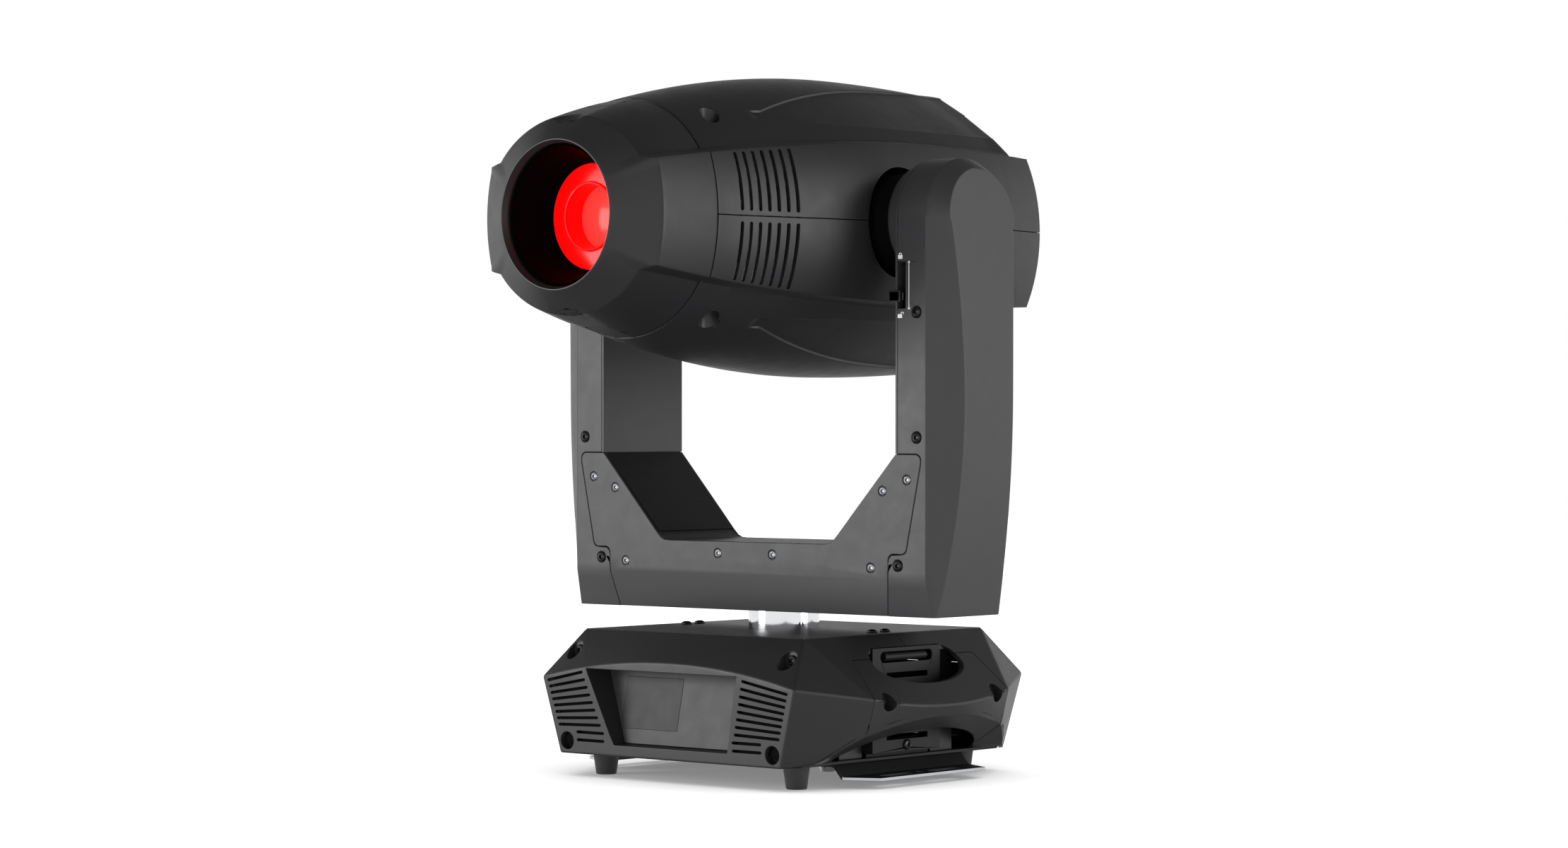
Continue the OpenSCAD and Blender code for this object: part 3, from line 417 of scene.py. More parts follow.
window_black = surface("window", "353537", 0.5, vary=0.05, rough_vary=0.03, grain=0.05, specular=0.35)
chrome = surface("chrome", "e6e7ea", 0.06, metal=1.0, vary=0.02, rough_vary=0.03)
steel = surface("steel", "bcbec2", 0.28, metal=1.0, vary=0.08, rough_vary=0.08, grain=0.1,
                grain_scale=800)
aluminium = surface("aluminium", "a6a8ac", 0.38, metal=1.0, vary=0.08, rough_vary=0.08, grain=0.25,
                    stretch=(1, 1, 0.08))
circuit_board = surface("circuit_board", "1c5236", 0.4, vary=0.2, grain=0.3, grain_scale=500)
marking = surface("marking", "e4e4e2", 0.5, vary=0.03, grain=0.1)
red_glass = glowing("red_glass", "ff0505", "e00000")
red_core = glowing("red_core", "ff2a22", "e43a38")


# ---- Head: the round shell, its side bands and its flat cheeks --------------------------

TILT_Z = 463.0
NOSE_Y = -280.0
RIDGE_Y = -263.3
CHEEK_Y = -258.5
SEAM_Y = -198.0
TONGUE_Y = -231.0
TAIL_Y = 211.6
SEAM = 0.35
CHEEK_ARC = 151.0
LEAF_FOOT = 81.5
LEAF_TIP_Y = -124.0
ROOF_END_Y = 185.9
SHELL_WALL = 3.0
LEDGE_RISE = 3.2


def on_tilt_axis(name, profile, axis, steps):
    """A turned part centred where the tilt axis and the lens axis cross."""
    return lathe(name, profile, (0, 0, TILT_Z), axis, steps)


def shell_r(y):
    """The round shell's radius at distance y."""
    return 127.05 - (5.4e-4 if y < 35 else 2.6e-4) * (y - 35) ** 2


def band_h(y):
    """Half the height of the flat side band."""
    return 67 - 17 * ((60 - y) / 258) ** 2 if y < 60 else 67 - 2 * ((y - 60) / 134) ** 2


def band_x(y):
    """How far the side band's middle lies from the head's middle plane."""
    if y < -15:
        return 101.5 + 32.5 * smooth((y + 205) / 190)
    return 134 - 13 * ((y + 15) / 178) ** 2


def leaf_edge_x(y):
    """How far the leaf-shaped flat reaches towards the top, as a distance from the middle."""
    return 56.5 - 0.145 * y


def band_quarter(y, inset):
    """The side band from its middle to its upper edge, then the ledge up to the round shell."""
    h, x_mid, r = band_h(y) - inset, band_x(y) - inset, shell_r(min(y, 155)) - inset
    edge = (x_mid - CHEEK_ARC + math.sqrt(CHEEK_ARC ** 2 - h * h), h)
    crease = (math.sqrt(r * r - (h + LEDGE_RISE) ** 2), h + LEDGE_RISE)
    points = []
    for i in range(13):
        z = h * i / 12
        points.append((x_mid - CHEEK_ARC + math.sqrt(CHEEK_ARC ** 2 - z * z), z))
    points.append((lerp(edge[0], crease[0], 0.5), lerp(edge[1], crease[1], 0.5)))
    return points, crease, r


def roof_angles(y, crease, r):
    """The angles of the roof's points: columns that follow both edges of the leaf."""
    start = math.atan2(crease[1], crease[0])
    foot = max(math.asin(min(LEAF_FOOT / r, 0.95)), start + 0.02)
    tip = math.acos(min(leaf_edge_x(y), 0.9 * r * math.cos(foot)) / r)
    tip = max(tip, foot + math.radians(3))
    ramp = 1.0 / r
    knots = [(start, 0), (foot - ramp, 5), (foot + ramp, 4), (tip - ramp, 8), (tip + ramp, 4),
             (math.pi / 2, 12)]
    angles = [start]
    for (a, _), (b, n) in zip(knots, knots[1:]):
        angles += [lerp(a, b, (i + 1) / n) for i in range(n)]
    return angles, foot, tip


def roof_point(y, a, foot, tip, r):
    """A roof point at angle a: the round shell with its sunk leaf."""
    ramp = 1.0 / r
    inside = smooth((a - foot + ramp) / (2 * ramp)) * smooth((tip + ramp - a) / (2 * ramp))
    inside *= smooth((y - LEAF_TIP_Y + 6) / 10)
    middle = (foot + tip) / 2
    chord = r * math.cos((tip - foot) / 2) / math.cos(a - middle)
    depth = lerp(1.9, 0.8, smooth((y - 80) / 60)) + max(r - chord, 0) * smooth((y + 110) / 60)
    reach = r - depth * inside
    return reach * math.cos(a), reach * math.sin(a)


def body_section(y, inset=0.0):
    """The whole outline of the head at distance y."""
    points, crease, r = band_quarter(y, inset)
    angles, foot, tip = roof_angles(y, crease, r)
    for a in angles:
        x, z = roof_point(y, a, foot, tip, r)
        points.append((x, max(z, crease[1])))
    return points


def full_ring(quarter, y):
    """A closed ring from a quarter outline that runs from the side's middle to the top."""
    upper = [(x, z) for x, z in quarter] + [(-x, z) for x, z in reversed(quarter[:-1])]
    lower = [(x, -z) for x, z in reversed(upper[1:-1])]
    return [(x, y, TILT_Z + z) for x, z in upper + lower]


def body_stations(first, last, step):
    """Even stations, closer together where the leaf starts."""
    stations = set(np.round(np.linspace(first, last, int((last - first) / step) + 1), 3))
    if step < 6:
        stations |= {float(y) for y in np.arange(-133, -108, 1.5)}
    return sorted(stations)


FACET_NORMAL = (0.516, 0.504, 0.694)
FACET_DISTANCE = 189.5


def rear_cutters(side, inset):
    """The steep rear face above the side bands, and a narrow facet at each of its corners."""
    low = band_h(ROOF_END_Y) + 0.3 - inset
    end = band_h(TAIL_Y) + 0.3 - inset
    front = ROOF_END_Y - inset
    slope = [(front, low), (TAIL_Y, end), (260, end), (260, 150), (front - (150 - low) / 5, 150)]
    tools = [prism("slope", [(y, TILT_Z + side * z) for y, z in slope], -200, 200, "X")]
    nx, ny, nz = FACET_NORMAL
    for s in SIDES:
        corners = []
        for z in (low, 130.0):
            reach = FACET_DISTANCE - inset - nz * z
            for x in (55.0, 125.0):
                y = (reach - nx * x) / ny
                corners += [(s * x, y, TILT_Z + side * z), (s * (x + 60), y + 60, TILT_Z + side * z)]
        tools.append(hull("facet", corners))
    return tools


def body_skin(name, first, last, step, inset=0.0):
    """The head's shape between two distances, moved inwards by inset."""
    return loft(name, [full_ring(body_section(y, inset), y) for y in body_stations(first, last, step)])


def head_louvres():
    """Seven upright slots in each side band, above and below the joint between the shells."""
    tools = []
    for side in SIDES:
        for i in range(7):
            y = -171.6 + 9.15 * i
            for z0, z1 in ((5.6, 49.4 + 0.85 * i), (-50.0 - 1.0 * i, -6.4)):
                outline = slot_outline(y, TILT_Z + z0, y, TILT_Z + z1, 3.5)
                low, high = sorted((side * 84, side * 150))
                tools.append(prism("louvre", outline, low, high, "X"))
    return together("louvres", tools)


HEAD_POCKET = (64.0, -167.0, 72.0)


def make_shell(side, name):
    """The upper shell for side 1, the lower for side -1."""
    outer = body_skin(name, SEAM_Y + SEAM, TAIL_Y, 3.0)
    inner = body_skin("inner", SEAM_Y - 4, TAIL_Y - 3, 9.0, SHELL_WALL)
    cut(inner, *rear_cutters(side, SHELL_WALL))
    low, high = (TILT_Z - 400, TILT_Z + SEAM / 2) if side > 0 else (TILT_Z - SEAM / 2, TILT_Z + 400)
    shell = cut(outer, box("split", (-400, -400, low), (400, 400, high)))
    pocket_x, pocket_y, pocket_z = HEAD_POCKET
    depth = sorted((TILT_Z + side * (pocket_z - 2.5), TILT_Z + side * 120))
    posts = [prism("post", arc(x, pocket_y, 10, 0, 350, 35), *depth, "Z") for x in (-pocket_x, pocket_x)]
    wall = boolean(together("posts", posts), [body_skin("trim", -190, -140, 2.5)], "INTERSECT")
    cut(shell, inner)
    boolean(shell, [wall], "UNION")
    depth = sorted((TILT_Z + side * pocket_z, TILT_Z + side * 130))
    bores = [prism("bore", arc(x, pocket_y, 8, 0, 352, 44), *depth, "Z") for x in (-pocket_x, pocket_x)]
    hubs = [on_tilt_axis("hub", [(0, s * 80), (46, s * 80), (46, s * 150), (0, s * 150)], "X", 96)
            for s in SIDES]
    tail = box("tail", (-82, 195, TILT_Z - 50), (82, 230, TILT_Z + 50))
    cut(shell, together("cuts", bores + hubs + [tail]))
    soften(shell, 0.6, 30)
    cut(shell, *rear_cutters(side, 0))
    cut(shell, head_louvres())
    even(shell, 40)
    return shell


upper_shell = make_shell(1, "upper_shell_skin")
lower_shell = make_shell(-1, "lower_shell_skin")
finish_piece(upper_shell, "head", "head_plastic", head_plastic, "upper_shell")
finish_piece(lower_shell, "head", "head_plastic", head_plastic, "lower_shell")


# ---- Nose: the faceted bezel round the light opening ------------------------------------

def nose_quarter(y, inset=0.0):
    """The nose's outline at distance y: cheek, ledge and round side with a flat strip on top."""
    t = (y - RIDGE_Y) / (SEAM_Y - RIDGE_Y)
    h = lerp(42.3, 50.5, t) - inset
    x_mid = lerp(97.6, 101.6, t) - inset
    swell = 1.2 * math.sin(math.pi * min(max(t, 0), 1)) - inset
    wide, high = lerp(93.5, 97.2, t) + swell, lerp(80.3, 97.2, t) + swell
    strip = high - lerp(1.7, 0.5, t)
    edge = (x_mid - CHEEK_ARC + math.sqrt(CHEEK_ARC ** 2 - h * h), h)
    start = math.asin((h + 3.0) / high)
    end = math.asin(strip / high)
    crease = (wide * math.cos(start), h + 3.0)
    points = [(x_mid - CHEEK_ARC + math.sqrt(CHEEK_ARC ** 2 - z * z), z)
              for z in [h * i / 11 for i in range(12)]]
    points += [(lerp(edge[0], crease[0], k), lerp(edge[1], crease[1], k)) for k in (0.33, 0.67)]
    points += [(wide * math.cos(a), high * math.sin(a)) for a in np.linspace(start, end, 23)]
    half = wide * math.cos(end)
    points += [(half * k, strip) for k in (0.75, 0.5, 0.25, 0)]
    return points


def nose_ring(quarter, y_of):
    """A closed ring whose distance along Y may change from point to point."""
    flat = full_ring(quarter, 0)
    return [(x, y_of(x, z - TILT_Z), z) for x, _, z in flat]


def nose_front(x, z):
    """The ridge's distance: the round part reaches further forward than the cheeks."""
    return lerp(CHEEK_Y, RIDGE_Y, smooth((abs(z) - 41.0) / 4.5))


def circle_like(quarter, r):
    """A circle with one point for each point of an outline."""
    angles = [math.atan2(z, x) for x, z in quarter]
    return [(r * math.cos(a), r * math.sin(a)) for a in angles]


def nose_skin(name, stations, inset=0.0):
    """The nose's shape through a list of distances, moved inwards by inset."""
    return loft(name, [full_ring(nose_quarter(y, inset), y) for y in stations])


def make_nose():
    """The nose as one shell: lip, sloping front, ridge and sides, with its two scoops."""
    outline = nose_quarter(RIDGE_Y)
    rings = [nose_ring(circle_like(outline, r), lambda x, z, y=y: y)
             for r, y in ((50.0, -278.0), (59.0, NOSE_Y), (60.4, NOSE_Y))]
    lip = rings[-1]
    ridge = nose_ring(outline, nose_front)
    for t in np.linspace(0.06, 1, 14):
        rings.append([tuple(lerp(a, b, t) for a, b in zip(p, q)) for p, q in zip(lip, ridge)])
    for y in np.linspace(CHEEK_Y + 2.5, SEAM_Y - SEAM, 20):
        rings.append([(x, y, z) for x, _, z in full_ring(nose_quarter(y), 0)])
    nose = loft("nose_skin", rings)
    hollow = nose_skin("hollow", np.linspace(-252, SEAM_Y + 2, 8), SHELL_WALL)
    bore = on_tilt_axis("bore", [
        (0, -285), (59.8, -285), (59.3, -279.2), (57.6, -275.6), (57.2, -274.6), (56.8, -240), (0, -240)],
        "Y", 160)
    cut(nose, hollow, bore)
    scoops, tongues = [], []
    for side in SIDES:
        ball = lathe("scoop", arc(0, 0, 1, -90, 90, 24), (0, 0, 0), "Z", 64)
        for v in ball.data.vertices:
            x, y, z = v.co / MM
            v.co = Vector((x * 20, y * 11 - 268, TILT_Z + side * (82.5 + z * 8))) * MM
        scoops.append(ball)
        low, high = sorted((TILT_Z + side * 70, TILT_Z + side * 110))
        tongues.append(box("tongue", (-12.4, TONGUE_Y, low), (12.4, SEAM_Y + 5, high)))
    cut(nose, together("scoops", scoops))
    return cut(nose, together("tongues", tongues))


nose = soften(make_nose(), 0.8, 26)
finish_piece(nose, "head", "head_plastic", head_plastic, "nose_bezel")
tongues = []
for side in SIDES:
    low, high = sorted((TILT_Z + side * 84, TILT_Z + side * 110))
    strip = nose_skin("tongue_top", np.linspace(TONGUE_Y + SEAM, SEAM_Y + 4, 12))
    keep = box("keep", (-12.1, -240, low), (12.1, -190, high))
    tongues.append(boolean(strip, [keep], "INTERSECT"))
tongue = soften(together("shell_tongues", tongues), 0.4)
finish_piece(tongue, "head", "head_plastic", head_plastic)


# ---- Lens: the dark tube, its rings and the glowing glass --------------------------------

tube = on_tilt_axis("lens_tube_skin", [
    (56.4, -273.0), (55.6, -273.6), (54.8, -272.8), (53.2, -265.0), (51.0, -256.0), (48.8, -248.0),
    (46.4, -241.0), (45.2, -238.5), (44.2, -237.6), (43.2, -236.5), (43.2, -234.6), (46.0, -234.6),
    (46.0, -151.0), (49.5, -151.0), (52.0, -220.0), (56.4, -250.0)], "Y", 160)
shade(tube, 30)
finish_piece(tube, "head", "gloss_black", tube_black, "lens_tube")

LENS_R = 42.9
CORE_R = 26.0
rim = [(LENS_R, -230.0), (LENS_R, -236.6)]
dome = [(r, -237.0 - 2.5 * (1 - (r / LENS_R) ** 2)) for r in np.linspace(LENS_R - 0.4, CORE_R + 2.5, 12)]
collar = [(CORE_R + 1.4, -240.4), (CORE_R + 0.4, -240.2), (CORE_R - 0.4, -238.6), (CORE_R - 0.4, -230.0)]
glass = on_tilt_axis("front_lens_glass", rim + dome + collar, "Y", 160)
shade(glass, 35)
finish_piece(glass, "head", "red_lens", red_glass, "front_lens")

inner_dome = [(r, -221 - 5 * (1 - (r / CORE_R) ** 2)) for r in np.linspace(CORE_R, 0, 16)]
core = on_tilt_axis("inner_lens_glass", [(0, -214.0), (CORE_R, -214.0)] + inner_dome, "Y", 128)
shade(core, 50)
finish_piece(core, "head", "red_lens", red_core)

cell = on_tilt_axis("inner_lens_cell", [
    (CORE_R + 0.2, -230.2), (CORE_R + 0.2, -213.0), (CORE_R + 4, -213.0), (CORE_R + 4, -230.2)], "Y", 128)
shade(cell, 30)
finish_piece(cell, "head", "red_lens", red_glass)


# ---- Yoke: two arms, the U-shaped plates and dark sheets painted as shade in their inner corners ---

GAP_X = 163.1
HALF_D = 50.8
LOW_D = 43.6
YOKE_Z = 139.0
CREASE_Z = 169.6
DIAG_Z = 271.6
CAP_R = 42.0


def yoke_y(z):
    """The yoke's half depth at a height: straight above the crease, leaning in below it."""
    if z >= CREASE_Z:
        return HALF_D
    return lerp(LOW_D, HALF_D, (z - YOKE_Z) / (CREASE_Z - YOKE_Z))


def panel_x(z):
    """How far an arm's bowed outer panel reaches at a height."""
    return 220.4 - (6.8e-4 if z < 320 else 3.4e-4) * (z - 320) ** 2


def panel_y(z):
    """Half the width of an arm's outer panel at a height."""
    return 32.2 + (2.8e-4 if z < 310 else 3.8e-4) * (z - 310) ** 2


def arm_edge_x(z):
    """How far an arm's front face reaches at a height."""
    return 194.6 + (1.6 * (CREASE_Z - z) / (CREASE_Z - YOKE_Z) if z < CREASE_Z else 0)


def arm_path(inset, step):
    """(edge point, panel point) pairs round an arm, from the front foot over the cap to the rear foot."""
    low = YOKE_Z - (2 if inset else 0)
    heights = [low, CREASE_Z] + list(np.arange(CREASE_Z + step, TILT_Z, step))
    if step < 10:
        heights[1:1] = list(np.arange(YOKE_Z + step, CREASE_Z - 1, step))
    front = [((-yoke_y(max(z, YOKE_Z)) + inset, z), (-panel_y(z) + inset * 0.6, z)) for z in heights]
    turn = []
    for a in range(0, 181, 4):
        c, s = math.cos(math.radians(a)), math.sin(math.radians(a))
        edge, panel = [(-(r - inset) * c, TILT_Z + (r - inset) * s) for r in (HALF_D, CAP_R)]
        turn.append((edge, panel))
    back = [((-e[0], e[1]), (-p[0], p[1])) for e, p in reversed(front)]
    return front + turn + back


def make_arm(x0, inset, step, name):
    """One arm, on the +X side, as a closed solid from x0 outwards."""
    path = arm_path(inset, step)
    inner = [(x0, e[0], e[1]) for e, p in path]
    edge = [(arm_edge_x(e[1]) - inset * 0.5, e[0], e[1]) for e, p in path]
    skins = []
    for t in (0.25, 0.5, 0.75):
        bulge = math.sin(math.pi * t)
        skin = []
        for e, p in path:
            x = lerp(arm_edge_x(e[1]) - inset * 0.5, panel_x(p[1]) - inset, t) + bulge * 0.35
            skin.append((x, lerp(e[0], p[0], t) * (1 + 0.004 * bulge), lerp(e[1], p[1], t)))
        skins.append(skin)
    panel = [(panel_x(p[1]) - inset, p[0], p[1]) for e, p in path]
    rings = [inner, edge] + skins + [panel]
    size = len(path)
    points = [p for ring in rings for p in ring]
    faces = band_faces(len(rings), size)
    faces.append(tuple(reversed(range(size))))
    last = (len(rings) - 1) * size
    for j in range(size // 2):
        a, b = last + j, last + size - 1 - j
        corners = list(dict.fromkeys((a, a + 1, b - 1, b)))
        if len(corners) > 2:
            faces.append(tuple(corners))
    piece = new_piece(name, points, faces)
    face_outwards(piece)
    return piece


def opening_outline(grow):
    """The gap between the arms, grown outwards."""
    lean = grow * 0.41
    half = [(0, 197.1 - grow), (86 + lean * 0.4, 197.1 - grow), (91.5 + lean * 0.5, 197.6 - grow),
            (95.8 + lean * 0.7, 199.6 - grow * 0.9), (100.2 + lean, 203.8 - grow * 0.7),
            (GAP_X + grow, DIAG_Z - lean), (GAP_X + grow, 700)]
    return mirrored(half)


def plate_outline(shrink):
    """The U-shaped plate's outer edge: a rounded shoulder at each side above the arm's foot."""
    s = shrink
    half = [(0, YOKE_Z + s), (149.4 - s, YOKE_Z + s), (155.1 - s, CREASE_Z), (155.4 - s, 184.5)]
    half += [(x, z + s) for x, z in arc(160.9 - s, 184.5 + s, 5.5, 180, 90, 5)]
    half += [(x - s, z + s) for x, z in arc(169.3, 195.5, 5.5, 270, 348, 5)]
    half += [(189.1 - s, 262.8), (189.4 - s, 265.6)]
    half += arc(184.0 - s, DIAG_Z - 5.4 - s, 5.4, 8, 90, 5)
    return mirrored(half)


def front_band(t0, t1):
    """A side view strip of the yoke's front between two depths."""
    outer = [(-yoke_y(z) + t0, z) for z in (YOKE_Z - 4, CREASE_Z, 600)]
    inner = [(-yoke_y(z) + t1, z) for z in (600, CREASE_Z, YOKE_Z - 4)]
    outer[0] = (-LOW_D + 0.94 + t0, YOKE_Z - 4)
    inner[-1] = (-LOW_D + 0.94 + t1, YOKE_Z - 4)
    return outer + inner


PLATE_SCREWS = [(174.8, 250.8), (149.3, 241.5), (136.9, 178.5), (30.4, 187.0)]
ARM_SCREWS = [(185.1, 285.2), (165.6, 180.9), (185.0, 386.9)]


def wells(places, radius, depth):
    """Round recesses in the yoke's front skin, in mirrored pairs."""
    return together("wells", [prism("well", arc(x, z, radius, 0, 345, 23), -HALF_D - 5, -HALF_D + depth)
                              for px, z in places for x in (-px, px)])


def turn_about_z(piece):
    """Half a turn about the pan axis, kept in the mesh."""
    piece.data.transform(Matrix.Rotation(math.pi, 4, "Z"))
    return piece


def make_plate(name):
    """A 3 mm U-shaped plate that follows the yoke's front, with its screw recesses."""
    plate = prism(name, plate_outline(SEAM / 2), -60, 0)
    boolean(plate, [prism("band", front_band(0, 3), -300, 300, "X")], "INTERSECT")
    cut(plate, prism("gap", opening_outline(0), -70, 10))
    soften(plate, 0.7, 24, 3)
    cut(plate, wells(PLATE_SCREWS, 4.7, 1.8))
    even(plate, 50)
    return plate


def copy_of(piece, name):
    """A second piece with its own copy of the mesh."""
    made = bpy.data.objects.new(name, piece.data.copy())
    scene.collection.objects.link(made)
    return made


def mirror_copy(piece, name):
    """A mirror image across the plane X = 0, with its shading worked out again."""
    made = copy_of(piece, name)
    made.data.transform(Matrix.Scale(-1, 4, (1, 0, 0)))
    made.data.flip_normals()
    if "custom_normal" in made.data.attributes:
        made.data.attributes.remove(made.data.attributes["custom_normal"])
    even(made, 50)
    return made


front_plate = make_plate("yoke_front_plate_skin")
rear_plate = turn_about_z(copy_of(front_plate, "yoke_rear_plate_skin"))
finish_piece(front_plate, "yoke", "yoke_plastic", yoke_plastic, "yoke_front_plate")
finish_piece(rear_plate, "yoke", "yoke_plastic", yoke_plastic, "yoke_rear_plate")

# Painted shade: a thin near-black sheet on each sloping inner corner of the yoke, standing in for the
# shade that falls there.
linings = []
for s in SIDES:
    strip = [(s * 100.6, 204.2), (s * 162.7, 271.1), (s * 161.97, 271.78), (s * 99.87, 204.88)]
    linings.append(prism("lining", strip, -47.4, 47.4))
finish_piece(together("yoke_corner_linings", linings), "yoke", "black_metal", black_metal)


def make_arm_cover(name, lock_slot):
    """A hollow arm cover, cut back where the plates and the gap between the arms are."""
    arm = make_arm(149.0, 0, 6, name)
    cut(arm, make_arm(140.0, 3.0, 24, "inner"))
    cut(arm, prism("gap", opening_outline(2.1), -70, 70))
    cut(arm, prism("plate", plate_outline(-SEAM / 2), -70, 70))
    recesses = []
    for y0, y1 in ((-60, -HALF_D + 1.2), (HALF_D - 1.2, 60)):
        recesses += [prism("well", arc(x, z, 4.9, 0, 345, 23), y0, y1) for x, z in ARM_SCREWS]
    cut(arm, together("wells", recesses))
    if lock_slot:
        cut(arm, box("slot", (160, -60, 390.2), (173.4, -40, 427.4)))
    split_large_faces(arm)
    return soften(arm, 0.8, 24, 3)


right_arm = make_arm_cover("right_arm_cover_skin", True)
left_flat = make_arm_cover("left_arm_cover", False)
left_arm = mirror_copy(left_flat, "left_arm_cover_skin")
bpy.data.objects.remove(left_flat)
finish_piece(right_arm, "yoke", "yoke_plastic", yoke_plastic, "right_arm_cover")
finish_piece(left_arm, "yoke", "yoke_plastic", yoke_plastic, "left_arm_cover")


# ---- Tilt bearing: a neck on the head, painted near-black as shade, and a rounded collar on each arm ---

NECK_PROFILE = [(0, 118), (39.5, 118), (39.5, 162.6), (0, 162.6)]
COLLAR_PROFILE = [(40.0, 162.6), (40.0, 150.5), (41.0, 149.3), (42.6, 149.0), (44.2, 149.8),
                  (45.4, 151.6), (46.0, 154.2), (46.0, 162.6)]


def both_sides(name, profile, steps, angle):
    """A turned part at each end of the tilt axis, as one piece."""
    pair = [on_tilt_axis("turned", [(r, s * h) for r, h in profile], "X", steps) for s in SIDES]
    made = together(name, pair)
    shade(made, angle)
    return made


# The necks are painted near-black: painted shade for the shadowed gap between the head and each arm.
necks = both_sides("tilt_necks", NECK_PROFILE, 96, 40)
finish_piece(necks, "head", "head_plastic", shade_and_gap_black, "tilt_hubs")
collars = both_sides("tilt_collars", COLLAR_PROFILE, 128, 60)
finish_piece(collars, "yoke", "yoke_plastic", yoke_plastic)


# ---- Screws ------------------------------------------------------------------------------

def screw_mesh(radius, material):
    """A button-head socket screw with its head above the origin, along +Z."""
    h = radius * 0.58
    head = [(0, -2.0), (radius * 0.9, -2.0), (radius * 0.9, 0.0), (radius, 0.15), (radius, h * 0.35)]
    head += [(radius * math.cos(a) * 0.98 + radius * 0.02, h * (0.35 + 0.65 * math.sin(a)))
             for a in np.linspace(0.25, 1.1, 5)]
    head += [(radius * 0.4, h), (0, h)]
    piece = lathe("screw", head, steps=32)
    hexagon = arc(0, 0, radius * 0.46, 0, 300, 5)
    cut(piece, prism("socket", hexagon, h * 0.25, h + 2, "Z"))
    soften(piece, radius * 0.03, 40, 1)
    piece.data.materials.append(material)
    return piece


def placed(master, point, outward):
    """A copy of a screw at a point, its head facing outward."""
    made = copy_of(master, "screw")
    turn = Vector((0, 0, 1)).rotation_difference(Vector(outward)).to_matrix().to_4x4()
    made.data.transform(Matrix.Translation(Vector(point) * MM) @ turn)
    return made


def screw_set(name, radius, material, places, body, slot, node):
    """The screws that stand for one CAD node, as one piece. A place is a point and a direction."""
    master = screw_mesh(radius, material)
    made = together(name, [placed(master, p, n) for p, n in places])
    bpy.data.objects.remove(master)
    shade(made, 40)
    return finish_piece(made, body, slot, material, node)


both_faces = [(s, y) for s in SIDES for y in SIDES]
screw_set("plate_socket_screws", 3.8, steel,
          [((s * x, y * (HALF_D - 1.8), z), (0, y, 0)) for s, y in both_faces for x, z in PLATE_SCREWS],
          "yoke", "steel", "yoke_plate_screws")
screw_set("arm_socket_screws", 4.4, black_steel,
          [((s * x, y * (HALF_D - 1.2), z), (0, y, 0)) for s, y in both_faces for x, z in ARM_SCREWS],
          "yoke", "black_steel", "arm_cover_screws")
screw_set("head_socket_screws", 4.4, black_steel,
          [((s * HEAD_POCKET[0], HEAD_POCKET[1], TILT_Z + t * HEAD_POCKET[2]), (0, 0, t))
           for s, t in both_faces],
          "head", "black_steel", "head_screws")


# ---- Tilt lock: knob, printed scale and padlock signs ------------------------------------

def make_lock_knob():
    """The knob in the lock slot, with the arm that joins it to the slider inside."""
    knob = box("tilt_lock_knob", (159.4, -54.6, 395.4), (170.6, -50.2, 404.4))
    arm = box("arm", (166.8, -51, 396.6), (171.2, -20, 403.2))
    boolean(knob, [arm], "UNION")
    return soften(knob, 1.0, 30, 3)


finish_piece(make_lock_knob(), "tilt_lock_slider", "black_steel", gloss_black)

PRINT_Y = -HALF_D - 0.06


def printed(name, outline):
    """A thin mark on the arm's front face."""
    return prism(name, outline, PRINT_Y, PRINT_Y + 0.08)


def padlock(x, z, size, shut):
    """A plain padlock sign: a body and a shackle that is shut or swung open."""
    top = z + size * 0.35
    body = printed("sign", [(x - size, z - size), (x + size, z - size), (x + size, top), (x - size, top)])
    across, up, r, half = x + (0 if shut else size * 1.1), z + size * 0.4, size * 0.62, size * 0.15
    shackle = arc(across, up, r + half, 0, 180, 14) + arc(across, up, r - half, 180, 0, 14)
    return [body, printed("sign", shackle)]


marks = [printed("line", [(177.1, 390.1), (177.7, 390.1), (177.7, 427.4), (177.1, 427.4)])]
marks += [printed("dot", arc(177.4, z, 1.05, 0, 345, 23)) for z in (390.1, 427.4)]
marks += padlock(168.4, 432.6, 2.3, True) + padlock(168.0, 384.6, 2.3, False)
scale_marks = together("lock_markings", marks)
finish_piece(scale_marks, "yoke", "marking", marking)


# ---- Base: faceted covers, grips, display recess and louvres -----------------------------

FOOT_H = 19.5
TOP_Z = 123.0
TOP_X, TOP_Y = 121.6, 116.0
CORNER_X = 139.9
FACE_Y = 150.0
RIDGE_X, RIDGE_HALF, RIDGE_Z, RIDGE_BULGE = 172.7, 88.0, 74.0, 7.9
WALL_X, WALL_Y = 134.0, 44.4


def arch_z(x):
    """The height of the curved edge along the base's front face."""
    return 83.5 + 16.5 * (1 - (x / CORNER_X) ** 2)


def base_points(t=0.0):
    """The corners of the base's outer shape, moved inwards by t."""
    low = FOOT_H - 5 if t > 0 else FOOT_H
    points = [(s * (TOP_X - t), u * (TOP_Y - t), TOP_Z - t) for s, u in both_faces]
    for u in SIDES:
        points += [(x, u * (FACE_Y - t), arch_z(x) - t * 0.6)
                   for x in np.linspace(t - CORNER_X, CORNER_X - t, 29)]
    for s in SIDES:
        for q in np.linspace(-1, 1, 17):
            rise = RIDGE_BULGE * (1 - q * q)
            points.append((s * (RIDGE_X - t + rise), RIDGE_HALF * q, RIDGE_Z - rise))
        points += [(s * (166 - t), u * RIDGE_HALF, 50) for u in SIDES]
        points += [(s * (152 - t), u * (100 - t), low) for u in SIDES]
        points += [(s * (122.2 - t), u * (146.6 - t), low) for u in SIDES]
    return points


def rounded_base(name):
    """The outer shape with its edges rounded."""
    solid = hull(name, base_points())
    modifier = solid.modifiers.new("edges", "BEVEL")
    modifier.width = 1.6 * MM
    modifier.segments = 3
    modifier.limit_method = "ANGLE"
    modifier.angle_limit = math.radians(11)
    settle(solid)
    return solid


